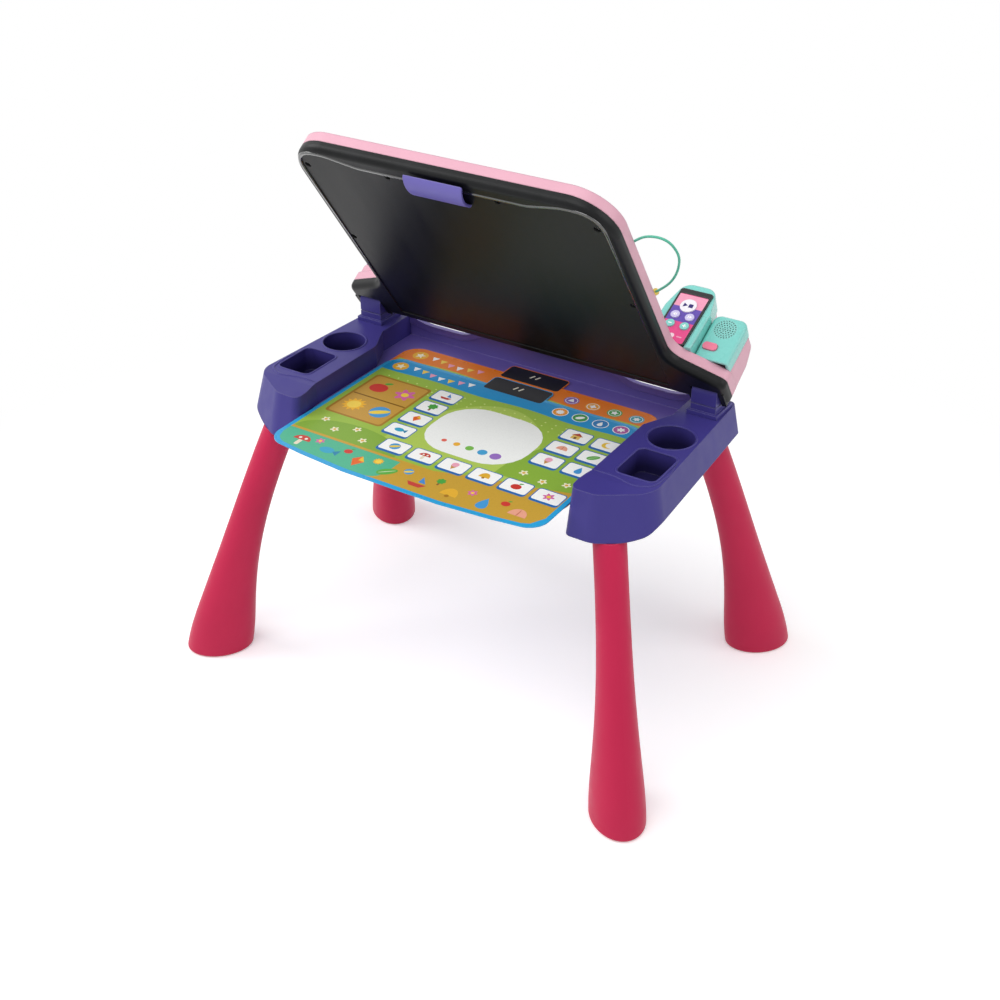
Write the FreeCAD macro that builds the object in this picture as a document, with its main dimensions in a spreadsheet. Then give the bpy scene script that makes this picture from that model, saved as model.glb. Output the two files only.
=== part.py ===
import FreeCAD, Part
import Sketcher
import math
import os
import re

# Child's activity desk: four splayed legs carry two side caddies and a page tray, and a
# folding lid with a chalkboard underside turns on two hinge posts. The lid stands open.
# Frame: millimetres, origin on the floor midway between the feet, +X to the child's right,
# +Y to the back, +Z up.

SIZES = {
    # fits and small common sizes
    "fit": 0.2, "pin_fit": 0.05, "soft_gap": 0.3, "overrun": 10, "edge_round": 2,
    # legs
    "foot_x": 271, "foot_y": 177, "front_leg_x": 203, "front_leg_y": 97, "rear_leg_x": 210,
    "rear_leg_y": 105, "foot_long": 78,
    "foot_short": 58, "foot_edge": 4, "leg_long": 39, "leg_short": 34, "leg_turn_deg": 45, "leg_wall": 3,
    "leg_sole": 5, "leg_cap": 6, "vent_bore_radius": 2.5, "tenon_radius": 7, "tenon_length": 18,
    "socket_wall": 2.5, "socket_roof": 3,
    # side caddies
    "arm_top": 336, "caddy_low": 280, "caddy_wall": 3, "nose_x": 169.5, "nose_width": 28,
    "caddy_front": 116, "caddy_shoulder": 88, "caddy_outer_x": 246, "caddy_rear_outer_x": 234.5,
    "caddy_draft_deg": 13, "caddy_rear": 126, "caddy_inner_x": 173, "caddy_inner_rear_x": 190,
    "facet_front": 30, "facet_rear": 66, "nose_back": 80, "nose_front": 100,
    "caddy_round": 8, "room_round": 5, "nose_outer_round": 12, "shoulder_round": 16,
    "crease": 88, "cap_drop": 2, "nose_bottom": 285.5, "nose_flat": 112, "sweep_end": 84,
    "sweep_bottom": 301.5, "rear_bottom": 304, "sweep_round": 30, "base_plate": 3,
    # wells in the caddies
    "cup_x": 211, "cup_y": 20, "cup_radius": 25, "cup_depth": 27, "bin_x": 215, "bin_y": 42,
    "bin_length": 44, "bin_width": 56, "bin_round": 9, "bin_depth": 27, "well_wall": 2.2,
    # fasteners of the base
    "base_boss_radius": 4, "rear_boss_x": 228, "rear_boss_y": 62, "inner_boss_x": 183.2,
    "inner_boss_y": 16, "screw_radius": 1.5, "screw_head_radius": 3.2, "screw_head": 2.2,
    "screw_grip": 9, "leg_screw_radius": 2, "leg_screw_head_radius": 4, "leg_screw_grip": 8,
    # page tray
    "floor_top": 310.5, "floor_thick": 2.5, "floor_front": 108, "floor_round": 6, "ledge_reach": 9,
    "ledge_thick": 3, "ledge_front": 96, "ledge_rear": 26, "tray_screw_x": 168.5,
    "tray_screw_pitch": 50, "tray_screw_mid": 28, "beam_depth": 4, "beam_low": 306, "beam_lip": 2,
    "beam_lip_height": 8, "hump_top": 343, "dip_top": 329,
    # activity pages
    "page_half": 167.5, "page_depth": 229, "page_thick": 1.2, "page_round": 22, "tab_half": 39,
    "tab_reach": 20, "tab_round": 6, "rear_page_front": 135, "front_page_front": 171,
    "page_gap": 0.15, "page_bow": 14,
    # hinge posts
    "hinge_y": 96, "hinge_z": 360.6, "lid_open_deg": 54.5, "post_x": 217, "post_width": 29,
    "post_depth": 33, "collar_rim": 3, "collar_height": 5, "spigot_length": 19,
    "spigot_width": 14, "spigot_drop": 6, "post_screw_reach": 11.5, "groove_z": 348,
    "groove_height": 1, "groove_depth": 0.8, "pin_radius": 4, "pin_inner_x": 196,
    "pin_outer_x": 238.5,
    # lid shells
    "lid_half": 183, "lid_reach": 310, "lid_rear": 10, "wing_half": 241, "wing_root": 58,
    "wing_front": 30, "lid_corner_round": 45, "wing_root_round": 25, "wing_tip_round": 10,
    "wing_rear_round": 8, "rim_low": 11, "rim_high": 11, "shell_wall": 3, "panel_thick": 2.5,
    "deck_thick": 3.5, "board_recess": 1, "board_inset": 8.5, "board_rear": 4, "board_round": 30,
    "brow_inset": 17, "brow_inner_x": 97, "brow_outer_x": 134, "brow_round": 50, "tub_edge": 7,
    "tub_room_edge": 4,
    "slot_gap": 1, "slot_depth": 17.6, "slot_top": 18, "hinge_rib": 6, "hinge_rib_reach": 12,
    "lid_boss_radius": 4, "lid_seat_radius": 5.5, "lid_seat_top": 4, "lid_bore_depth": 4,
    "corner_screw_side": 17, "corner_screw_inset": 31, "top_screw_x": 63, "top_screw_inset": 22,
    "side_screw_side": 13, "lid_screw_grip": 11,
    # desk top with touch panel and page reader
    "bed_side": 13, "bed_inset": 8, "bed_rear": 82, "bed_depth": 2, "bed_round": 20,
    "touch_thick": 1, "reader_half": 46, "reader_depth": 22, "reader_height": 9,
    "reader_slot_half": 41, "reader_slot_height": 4.6, "reader_slot_depth": 17, "reader_round": 5,
    # electronics in the lid
    "board_length": 120, "board_width": 50, "board_thick": 1.6, "board_x": 30, "board_y": 36,
    "chip_size": 14, "chip_height": 1.2, "standoff_height": 5, "standoff_radius": 3, "standoff_inset": 6,
    "cell_radius": 7.1,
    "cell_length": 50, "cell_pitch": 15, "cell_cap_radius": 2.7, "cell_cap": 1, "battery_x": 120,
    "battery_y": 24, "battery_wall": 1.4, "battery_room": 1.6, "door_rim": 2, "door_thick": 1.8,
    "door_tab": 10, "door_boss_radius": 3.5,
    # play phone
    "phone_x": 173.5, "phone_y": 56.6, "phone_lean_deg": 11, "phone_width": 37, "phone_height": 76,
    "phone_low": 1, "phone_thick": 4, "phone_round": 3, "screen_rim": 2, "screen_top_rim": 6,
    "screen_low_rim": 3, "screen_round": 2, "screen_thick": 0.8, "dock_left": 26, "dock_right": 26.5,
    "dock_rise": 84, "dock_shoulder": 50, "dock_slope": 8, "dock_depth": 20, "dock_back_depth": 14,
    "dock_back_inset": 2, "dock_arch_round": 14, "dock_shoulder_round": 20, "dock_front": 1.5,
    "dock_root": 12, "dock_wall": 2.4, "membrane_thick": 1.2, "bulge_radius": 4, "bulge_x": 22.4,
    "bulge_y": 4.5, "bulge_height": 44, "play_z": 52.8, "play_radius": 9, "key_x": 8.3,
    "track_key_z": 38.2, "volume_key_z": 25.4, "key_radius": 5, "key_proud": 1.4, "key_travel": 1,
    "key_flange": 0.8, "key_flange_height": 0.8,
    # speaker pod
    "speaker_x": 219.6, "speaker_y": 42, "speaker_lean_deg": 6, "speaker_width": 38,
    "speaker_height": 58, "speaker_depth": 17, "speaker_round": 9, "speaker_edge": 4,
    "speaker_wall": 2.5, "speaker_room_round": 6.5, "speaker_root": 8, "grille_x": 1, "grille_z": 41,
    "hole_radius": 0.7, "hole_ring": 2.75, "driver_radius": 13, "driver_depth": 9,
    "driver_magnet_radius": 8, "driver_flange": 2, "switch_x": 7, "switch_z": 16, "switch_length": 16,
    "switch_width": 9, "switch_round": 4, "switch_proud": 1.6,
    "switch_flange": 0.9, "switch_flange_height": 1, "pod_height": 50, "pod_rear": 9,
    "pod_rear_height": 30, "pod_slope": 10, "pod_round": 8, "pod_wall": 2.4,
    # left console and knob
    "console_outer": 239, "console_inner": 195, "console_front": 37, "console_bevel_x": 222,
    "console_waist": 27, "console_rear": 9, "console_height": 13, "console_round": 6, "knob_x": 224,
    "knob_y": 24, "knob_radius": 12, "knob_height": 15, "knob_edge": 2, "shaft_radius": 3,
    "shaft_grip": 9, "encoder_size": 12, "encoder_height": 7,
    # stylus, cradle, cord and gland
    "stylus_tail_x": 94, "stylus_y": 30, "stylus_length": 130, "stylus_radius": 5.5,
    "stylus_grip": 30, "stylus_grip_radius": 4.8, "stylus_cone": 18, "stylus_tip_radius": 1.5,
    "stylus_tip": 4, "cradle_length": 60, "cradle_x": 52, "cradle_width": 19, "cradle_height": 9,
    "cradle_floor": 1.5, "cradle_round": 4, "cord_radius": 1.25, "cord_start_x": 182.5,
    "cord_start_y": 149.5, "gland_radius": 3.5, "gland_length": 12, "gland_turn_deg": 45,
    # paper clip
    "clip_inset": 21, "clip_tilt_deg": 7.8, "clip_gap": 0.3, "clip_jaw": 18, "clip_tail": 19,
    "clip_chord": 1.9, "clip_arch": 8, "clip_thick": 2.5, "clip_jaw_half": 30,
    "clip_tail_half": 33.5, "clip_jaw_round": 5, "clip_tail_round": 2, "clip_pin_radius": 1.5,
    "lug_x": 15, "lug_thick": 4, "lug_radius": 3.4, "ear_gap": 0.4, "ear_thick": 3.4,
    "ear_radius": 3.2, "coil_radius": 2.8, "coil_half": 8, "coil_wire": 0.9,
}

# Section heights up the leg as shares of its rise, each with its share of the foot's flare.
LEG_SECTION_SHARES = ((0.0, 1.0), (0.14, 0.84), (0.3, 0.48), (0.46, 0.21), (0.64, 0.05), (0.82, 0.0))
LEAN_SHARES = (0.62, 0.38)

# Cord route between the gland and the stylus tail, flat on the closed lid, measured from the
# hinge axis, and the share of a run that its arc takes.
CORD_ROUTE = [
    (196.5, -163.5, 14.5), (209.5, -182, 15), (219, -203, 15.5), (224.5, -225.5, 15.5),
    (217.5, -246.5, 15.5), (197, -247, 15), (179.5, -233, 14), (162.5, -215, 13.5),
    (148.5, -194.5, 13.5), (140, -171, 13.5), (137, -147, 13.5), (138, -123, 13.5),
    (141, -99.5, 13.5), (138, -77, 14), (131, -56, 15), (120, -39, 16.8), (106.5, -30, 18.3),
]
CORD_RUN_SHARE = 0.45

V = FreeCAD.Vector
doc = FreeCAD.newDocument("activity_desk")
sheet = doc.addObject("Spreadsheet::Sheet", "Sizes")
for row, (alias, size) in enumerate(SIZES.items(), 1):
    sheet.set(f"A{row}", alias)
    sheet.set(f"B{row}", str(size))
    sheet.setAlias(f"B{row}", alias)
doc.recompute()

SUBPARTS = []
TURNS = {
    "X": FreeCAD.Rotation(V(0, 1, 0), 90),
    "Y": FreeCAD.Rotation(V(1, 0, 0), -90),
    "Z": FreeCAD.Rotation(),
}


def size(name):
    """A sheet value as a plain number."""
    return float(sheet.get(name))


def bound(text):
    """Expression text with every sheet name written as a reference to its cell."""
    return re.sub(r"[a-z_]\w*", lambda word: "Sizes." * (word[0] in SIZES) + word[0], str(text))


def bind(obj, **rules):
    """Binds properties to sheet expressions; a double underscore stands for a dot."""
    for name, text in rules.items():
        obj.setExpression(name.replace("__", "."), bound(text))
    return obj


def place(obj, x=0, y=0, z=0):
    """Moves an object's base point to sheet expressions."""
    for axis, text in zip("xyz", (x, y, z)):
        if text != 0:
            obj.setExpression(f"Placement.Base.{axis}", bound(text))
    return obj


def subpart(obj, label):
    """Names a finished object as one physical piece of the desk."""
    obj.Label = label
    SUBPARTS.append(obj)
    return obj


def box(name, dims, centre, low):
    """A block of length, width and height, centred in plan and standing on low."""
    made = doc.addObject("Part::Box", name)
    bind(made, Length=dims[0], Width=dims[1], Height=dims[2])
    return place(made, f"{centre[0]} - ({dims[0]}) / 2", f"{centre[1]} - ({dims[1]}) / 2", low)


def rod(name, radius, length, start, along="Z"):
    """A round bar from its start point along one axis."""
    made = doc.addObject("Part::Cylinder", name)
    made.Placement.Rotation = TURNS[along]
    bind(made, Radius=radius, Height=length)
    return place(made, *start)


def taper(name, low_radius, high_radius, height, start):
    """A round piece whose radius changes along its height."""
    made = doc.addObject("Part::Cone", name)
    bind(made, Radius1=low_radius, Radius2=high_radius, Height=height)
    return place(made, *start)


def fuse(name, *pieces):
    """Joins overlapping solids into one."""
    made = doc.addObject("Part::MultiFuse", name)
    made.Shapes = list(pieces)
    return made


def cut(name, base, *tools):
    """Takes the tools away from the base."""
    made = doc.addObject("Part::Cut", name)
    made.Base = base
    made.Tool = tools[0] if len(tools) == 1 else fuse(f"{name}_tools", *tools)
    return made


def common(name, base, tool):
    """Keeps what two solids share."""
    made = doc.addObject("Part::Common", name)
    made.Base = base
    made.Tool = tool
    return made


def mirror(name, source, normal):
    """A mirrored copy across a plane through the origin."""
    made = doc.addObject("Part::Mirroring", name)
    made.Source = source
    made.Normal = normal
    return made


def corner_edges(shape, corner, plane):
    """Names of the edges that rise from one corner of an outline."""
    def flat(point):
        return {"XY": (point.x, point.y), "XZ": (point.x, point.z), "YZ": (point.y, point.z)}[plane]

    def height(point):
        return {"XY": point.z, "XZ": point.y, "YZ": point.x}[plane]
    near = Part.Precision.confusion() * 100
    names = []
    for index, edge in enumerate(shape.Edges, 1):
        ends = [vertex.Point for vertex in edge.Vertexes]
        if len(ends) < 2 or abs(height(ends[0]) - height(ends[1])) < near:
            continue
        if any(math.dist(flat(end), corner) < near for end in ends):
            names.append(f"Edge{index}")
    return names


def pad(name, plane, corners, start, length, inset=0, draft=0):
    """An outline of bound corners on one plane, padded and rounded at its corners.

    A corner is (x, y, inset share x, inset share y, round). The inset moves every corner
    inwards by its shares and shrinks its round. A draft narrows the pad as it rises."""
    body = doc.addObject("PartDesign::Body", name)
    sketch = body.newObject("Sketcher::SketchObject", f"{name}_outline")
    role = f"{plane}_Plane"
    origin_plane = next(item for item in body.Origin.OriginFeatures if item.Role == role)
    sketch.AttachmentSupport = [(origin_plane, "")]
    sketch.MapMode = "FlatFace"
    if start != 0:
        bind(sketch, AttachmentOffset__Base__z=start)
    count = len(corners)
    ring = [V(math.cos(2 * math.pi * i / count), math.sin(2 * math.pi * i / count), 0)
            for i in range(count)]
    for i in range(count):
        sketch.addGeometry(Part.LineSegment(ring[i], ring[(i + 1) % count]))
    for i in range(count):
        sketch.addConstraint(Sketcher.Constraint("Coincident", i, 2, (i + 1) % count, 1))
    for i, (x, y, share_x, share_y, _) in enumerate(corners):
        for kind, text, share in (("DistanceX", x, share_x), ("DistanceY", y, share_y)):
            number = sketch.addConstraint(Sketcher.Constraint(kind, -1, 1, i, 1, 1.0))
            rule = text if inset == 0 or share == 0 else f"{text} + {share} * ({inset})"
            sketch.setExpression(f"Constraints[{number}]", bound(rule))
    feature = body.newObject("PartDesign::Pad", f"{name}_pad")
    feature.Profile = sketch
    bind(feature, Length=length)
    if draft != 0:
        bind(feature, TaperAngle=f"-{draft}")
    body.recompute(True)
    places = [(line.StartPoint.x, line.StartPoint.y) for line in sketch.Geometry]
    rounds = [corner[4] for corner in corners]
    for radius in sorted({text for text in rounds if text}):
        edges = []
        for corner, text in zip(places, rounds):
            if text == radius:
                edges += corner_edges(body.Shape, corner, plane)
        fillet = body.newObject("PartDesign::Fillet", f"{name}_{radius}")
        fillet.Base = (feature, edges)
        bind(fillet, Radius=radius if inset == 0 else f"{radius} - ({inset})")
        body.Tip = fillet
        body.recompute(True)
        feature = fillet
    return body


def mirrored_corners(half):
    """A right-hand run of corners, front to back, with its mirror image on the left."""
    left = [(f"-({x})", y, -sx, sy, r) for x, y, sx, sy, r in reversed(half)]
    return half + left


def plate(name, length, depth, corner_round, centre, low, height):
    """A rectangular plate with rounded corners, centred in plan and standing on low."""
    x, y = centre
    corners = [(f"{x} {sx} ({length}) / 2", f"{y} {sy} ({depth}) / 2", 0, 0, corner_round)
               for sx, sy in (("-", "-"), ("+", "-"), ("+", "+"), ("-", "+"))]
    return pad(name, "XY", corners, low, height)


def soften(name, base, radius, choose):
    """Rounds the chosen edges of a solid."""
    base.recompute(True)
    made = doc.addObject("Part::Fillet", name)
    made.Base = base
    picked = [i for i, edge in enumerate(base.Shape.Edges, 1) if choose(edge)]
    made.Edges = [(i, size(radius), size(radius)) for i in picked]
    return made


def on_level(level):
    """Picks the edges that lie at one height."""
    def choose(edge):
        low, high = edge.BoundBox.ZMin, edge.BoundBox.ZMax
        return high - low < size("pin_fit") and abs(high - level) < size("pin_fit")
    return choose


def on_lid(obj, x=0, y=0, z=0, lean=0):
    """Seats an object that was built flat on the closed lid, then turned open with it."""
    obj.Placement = FreeCAD.Placement(V(), FreeCAD.Rotation(V(-1, 0, 0), 1))
    place(
        obj, x,
        f"hinge_y + ({y}) * cos(lid_open_deg) + ({z}) * sin(lid_open_deg)",
        f"hinge_z - ({y}) * sin(lid_open_deg) + ({z}) * cos(lid_open_deg)",
    )
    return bind(obj, Placement__Rotation__Angle=f"lid_open_deg + {lean}")


# Side caddies: moulded shells with a cup, a bin and a rounded nose, closed by a base plate.

CADDY_HEIGHT = "(arm_top - caddy_low)"
FLARE = f"({CADDY_HEIGHT} * tan(caddy_draft_deg))"
FAR_FRONT = f"-caddy_front - {FLARE} - overrun"
FAR_SIDE = f"caddy_outer_x + {FLARE} + overrun"
INNER_CORNERS = [
    ("nose_x", FAR_FRONT, 1, 0, None),
    (FAR_SIDE, FAR_FRONT, 0, 0, None),
    (FAR_SIDE, "caddy_rear", 0, -1, None),
    ("caddy_inner_rear_x", "caddy_rear", 1, -1, None),
    ("caddy_inner_rear_x", "facet_rear", 1, -0.225, None),
    ("caddy_inner_x", "facet_front", 1, -0.225, None),
    ("caddy_inner_x", "-nose_back", 1, -0.146, None),
    ("nose_x", "-nose_front", 1, -0.146, None),
]
FLANK_CORNERS = [
    ("nose_x - 2 * overrun", "-caddy_front", 0, 1, None),
    ("nose_x + nose_width", "-caddy_front", -0.268, 1, "nose_outer_round"),
    ("caddy_outer_x", "-caddy_shoulder", -1.029, 0.561, "shoulder_round"),
    ("caddy_rear_outer_x", "caddy_rear + 2 * overrun", -1, 0, None),
    ("nose_x - 2 * overrun", "caddy_rear + 2 * overrun", 0, 0, None),
]


def outer_corners(edge):
    """Picks the rising edges at the nose's inner corner and at the flank's rear corner."""
    frame = edge.BoundBox
    at_nose = frame.YMax < -(size("nose_front") + size("caddy_front")) / 2
    at_rear = frame.YMin > size("hinge_y") and frame.XMin > size("post_x")
    inner = frame.XMax < size("nose_x") + size("nose_width") / 2
    return frame.ZLength > size("overrun") and (at_nose and inner or at_rear)


def caddy_form(name, inset, radius):
    """The caddy in plan: an upright inner side, and a front and flank that lean outwards."""
    inner = pad(f"{name}_inner", "XY", INNER_CORNERS, "caddy_low", CADDY_HEIGHT, inset)
    flank = pad(f"{name}_flank", "XY", FLANK_CORNERS, "caddy_low", CADDY_HEIGHT,
                f"{inset} - {FLARE}", "caddy_draft_deg")
    return soften(name, common(f"{name}_plan", inner, flank), radius, outer_corners)


def caddy_profile(name, top_drop, bottom_lift, depth):
    """The caddy's side view as a slab across it: level top, sloping nose, swept-up bottom."""
    tip = f"(caddy_front + {FLARE} + overrun)"
    cap = f"(cap_drop * ({tip} - crease) / (caddy_front - crease))"
    low = f"{bottom_lift}"
    corners = [
        (f"-{tip}", f"nose_bottom + {low}", 0, 0, None),
        ("-nose_flat", f"nose_bottom + {low}", 0, 0, "sweep_round"),
        ("-sweep_end", f"sweep_bottom + {low}", 0, 0, "sweep_round"),
        ("caddy_rear + overrun", f"rear_bottom + {low}", 0, 0, None),
        ("caddy_rear + overrun", f"arm_top - ({top_drop})", 0, 0, None),
        ("-crease", f"arm_top - ({top_drop})", 0, 0, None),
        (f"-{tip}", f"arm_top - {cap} - ({top_drop})", 0, 0, None),
    ]
    return pad(name, "YZ", corners, "nose_x - overrun", depth)


CADDY_SPAN = f"{FAR_SIDE} - nose_x + 2 * overrun"
caddy_block = common(
    "caddy_block",
    caddy_form("caddy_plan", "0", "caddy_round"),
    caddy_profile("caddy_side", "0", "0", CADDY_SPAN),
)
caddy_room = common(
    "caddy_room",
    caddy_form("caddy_room_plan", "caddy_wall", "room_round"),
    caddy_profile("caddy_room_side", "caddy_wall", "-overrun", CADDY_SPAN),
)
BIN_CENTRE = ("bin_x", "-bin_y")
CUP_START = ("cup_x", "cup_y", "arm_top - cup_depth - well_wall")
well_walls = [
    rod("cup_wall", "cup_radius + well_wall", "cup_depth + well_wall", CUP_START),
    plate("bin_wall", "bin_length + 2 * well_wall", "bin_width + 2 * well_wall", "bin_round",
          BIN_CENTRE, "arm_top - bin_depth - well_wall", "bin_depth + well_wall"),
]
wells = [
    rod("cup_well", "cup_radius", "cup_depth + overrun", ("cup_x", "cup_y", "arm_top - cup_depth")),
    plate("bin_well", "bin_length", "bin_width", "bin_round", BIN_CENTRE,
          "arm_top - bin_depth", "bin_depth + overrun"),
]
BASE_BOSSES = (("rear_boss_x", "rear_boss_y"), ("inner_boss_x", "-inner_boss_y"))
BOSS_LOW = "rear_bottom + base_plate"
bosses = [rod(f"base_boss_{i}", "base_boss_radius", f"arm_top - caddy_wall / 2 - ({BOSS_LOW})",
              (x, y, BOSS_LOW)) for i, (x, y) in enumerate(BASE_BOSSES)]
boss_bores = [rod(f"base_boss_bore_{i}", "screw_radius + pin_fit", "screw_grip + base_plate + overrun",
                  (x, y, f"{BOSS_LOW} - overrun")) for i, (x, y) in enumerate(BASE_BOSSES)]
LEDGE_LENGTH = "ledge_front + ledge_rear"
ledge = box("ledge", ("ledge_reach + caddy_wall / 2", LEDGE_LENGTH, "ledge_thick"),
            ("caddy_inner_x - ledge_reach / 2 + caddy_wall / 4", "(ledge_rear - ledge_front) / 2"),
            "floor_top - floor_thick - ledge_thick")
TRAY_SCREWS = [("tray_screw_x", f"{i} * tray_screw_pitch - tray_screw_mid") for i in (-1, 0, 1)]
ledge_bores = [rod(f"ledge_bore_{i}", "screw_radius + pin_fit", "ledge_thick + overrun",
                   (x, y, "floor_top - floor_thick - ledge_thick - overrun / 2"))
               for i, (x, y) in enumerate(TRAY_SCREWS)]
post_hole = box("post_hole", ("spigot_length + 2 * fit", "spigot_width + 2 * fit", "caddy_wall + overrun"),
                ("post_x", "hinge_y"), "arm_top - caddy_wall - overrun / 2")
POST_SCREWS = (("post_x", "hinge_y - post_screw_reach"), ("post_x", "hinge_y + post_screw_reach"))
post_bores = [rod(f"post_bore_{i}", "screw_radius + pin_fit", "caddy_wall + overrun",
                  (x, y, "arm_top - caddy_wall - overrun / 2")) for i, (x, y) in enumerate(POST_SCREWS)]
caddy_walls = cut("caddy_walls", caddy_block, caddy_room)
caddy_body = fuse("caddy_body", caddy_walls, *well_walls, *bosses, ledge)
caddy_cut = cut("caddy_cut", caddy_body, *wells, *boss_bores, *ledge_bores, post_hole, *post_bores)
right_caddy = subpart(caddy_cut, "right_caddy")
left_caddy = subpart(mirror("left_caddy", right_caddy, V(1, 0, 0)), "left_caddy")


# Base plates: close the caddies from below and carry the sockets for the legs.

base_band = cut("base_band", caddy_profile("band_low", "0", "0", CADDY_SPAN),
                caddy_profile("band_high", "0", "base_plate", CADDY_SPAN))
base_plate_flat = common(
    "base_plate_flat",
    caddy_form("base_plan", "(caddy_wall + fit)", "room_round"),
    base_band,
)
LEG_PLACES = (("front_leg_x", "-front_leg_y", "sweep_bottom"), ("rear_leg_x", "rear_leg_y", "rear_bottom"))
SOCKET_LOW = "(nose_bottom - overrun)"
sleeve_rods = [rod(f"sleeve_rod_{i}", "tenon_radius + fit + socket_wall",
                   f"{rise} + tenon_length + fit + socket_roof - {SOCKET_LOW}", (x, y, SOCKET_LOW))
               for i, (x, y, rise) in enumerate(LEG_PLACES)]
sleeves = [common(f"sleeve_{i}", sleeve, caddy_profile(f"sleeve_limit_{i}", "0", "0", CADDY_SPAN))
           for i, sleeve in enumerate(sleeve_rods)]
sockets = [rod(f"socket_{i}", "tenon_radius + fit", f"{rise} + tenon_length + fit - {SOCKET_LOW}",
               (x, y, SOCKET_LOW)) for i, (x, y, rise) in enumerate(LEG_PLACES)]
roof_bores = [rod(f"roof_bore_{i}", "leg_screw_radius + pin_fit", "socket_roof + 2 * fit",
                  (x, y, f"{rise} + tenon_length")) for i, (x, y, rise) in enumerate(LEG_PLACES)]
plate_bores = [rod(f"plate_bore_{i}", "screw_radius + pin_fit", "base_plate + 2 * overrun",
                   (x, y, "sweep_bottom - overrun")) for i, (x, y) in enumerate(BASE_BOSSES)]
base_solid = fuse("base_solid", base_plate_flat, *sleeves)
right_base = subpart(
    cut("right_caddy_base", base_solid, *sockets, *roof_bores, *plate_bores), "right_caddy_base")
left_base = subpart(mirror("left_caddy_base", right_base, V(1, 0, 0)), "left_caddy_base")


# Legs: hollow plastic columns, oval in section, that lean outwards and flare into feet. Their
# tops follow the caddies' undersides, and a round tenon goes up into each socket.

def leg_section(name, top, height, flare, spare):
    """One oval slice of a right-hand leg at a height, as if it stood at the front."""
    made = doc.addObject("Part::Ellipse", name)
    made.Placement.Rotation = FreeCAD.Rotation(V(0, 0, -1), 1)
    x, y, rise = top
    share = f"(({height}) / {rise})"
    lean = f"({LEAN_SHARES[0]} * {share} + {LEAN_SHARES[1]} * {share}^2)"
    bind(made,
         MajorRadius=f"(leg_long + {flare} * (foot_long - leg_long)) / 2 + {spare}",
         MinorRadius=f"(leg_short + {flare} * (foot_short - leg_short)) / 2 + {spare}",
         Placement__Rotation__Angle="leg_turn_deg")
    return place(made, f"foot_x - (foot_x - {x}) * {lean}", f"-(foot_y - (foot_y - {y}) * {lean})", height)


def leg_loft(name, top, sections, spare):
    """A solid through oval slices, each a height with its share of the flare."""
    made = doc.addObject("Part::Loft", name)
    made.Sections = [leg_section(f"{name}_slice_{i}", top, height, flare, spare)
                     for i, (height, flare) in enumerate(sections)]
    made.Solid = True
    made.MaxDegree = 3
    return made


def make_leg(label, top, low, side):
    """A right-hand leg, front or rear, hollow below its cap and with a tenon on top.

    The top is the place of the tenon's root, and low is the lowest level of the seat over it."""
    x, y, rise = top
    outside = [(f"{share} * {rise}", flare) for share, flare in LEG_SECTION_SHARES]
    inside = [("leg_sole", LEG_SECTION_SHARES[0][1])] + outside[1:-1]
    sharp = leg_loft(f"{label}_sharp", top, outside + [(f"{rise} + overrun", 0)], "0")
    outer = soften(f"{label}_outer", sharp, "foot_edge", on_level(0))
    inner = leg_loft(f"{label}_inner", top, inside + [(f"{low} - leg_cap", 0)], "-leg_wall")
    if side == 1:
        outer = mirror(f"{label}_outer_rear", outer, V(0, 1, 0))
        inner = mirror(f"{label}_inner_rear", inner, V(0, 1, 0))
    seat = caddy_profile(f"{label}_seat", "0", "-fit", CADDY_SPAN)
    tenon = rod(f"{label}_tenon", "tenon_radius", f"{rise} + tenon_length - {low} + leg_cap / 2",
                (x, f"{side} * {y}", f"{low} - leg_cap / 2"))
    bore = rod(f"{label}_bore", "leg_screw_radius + pin_fit", "leg_screw_grip",
               (x, f"{side} * {y}", f"{rise} + tenon_length - leg_screw_grip"))
    vent = rod(f"{label}_vent", "vent_bore_radius", "leg_sole + overrun",
               ("foot_x", f"{side} * foot_y", "-overrun / 2"))
    solid = fuse(f"{label}_solid", cut(f"{label}_shaped", outer, seat), tenon)
    return subpart(cut(label, solid, inner, bore, vent), label)


for end, low, side in (("front", "nose_bottom", -1), ("rear", "rear_bottom", 1)):
    leg_top = (f"{end}_leg_x", f"{end}_leg_y", "sweep_bottom" if side == -1 else "rear_bottom")
    right_leg = make_leg(f"{end}_right_leg", leg_top, low, side)
    subpart(mirror(f"{end}_left_leg", right_leg, V(1, 0, 0)), f"{end}_left_leg")


# Screws: a round head and a shank each, grouped by what they fasten.

def screw(name, head_radius, head, shank_radius, shank, seat, heads_up):
    """One screw with its head's bearing face on the seat."""
    x, y, z = seat
    if heads_up:
        return fuse(name, rod(f"{name}_head", head_radius, head, (x, y, z)),
                    rod(f"{name}_shank", shank_radius, f"{shank} + {head} / 2", (x, y, f"{z} - ({shank})")))
    return fuse(name, rod(f"{name}_head", head_radius, head, (x, y, f"{z} - {head}")),
                rod(f"{name}_shank", shank_radius, f"{shank} + {head} / 2", (x, y, f"{z} - {head} / 2")))


def group(label, pieces):
    """Identical loose pieces kept together as one node of separate solids."""
    made = doc.addObject("Part::Compound", label)
    made.Links = pieces
    return subpart(made, label)


def both_sides(pieces):
    """The pieces with their mirror images across the desk."""
    return pieces + [mirror(f"{piece.Name}_left", piece, V(1, 0, 0)) for piece in pieces]


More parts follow.
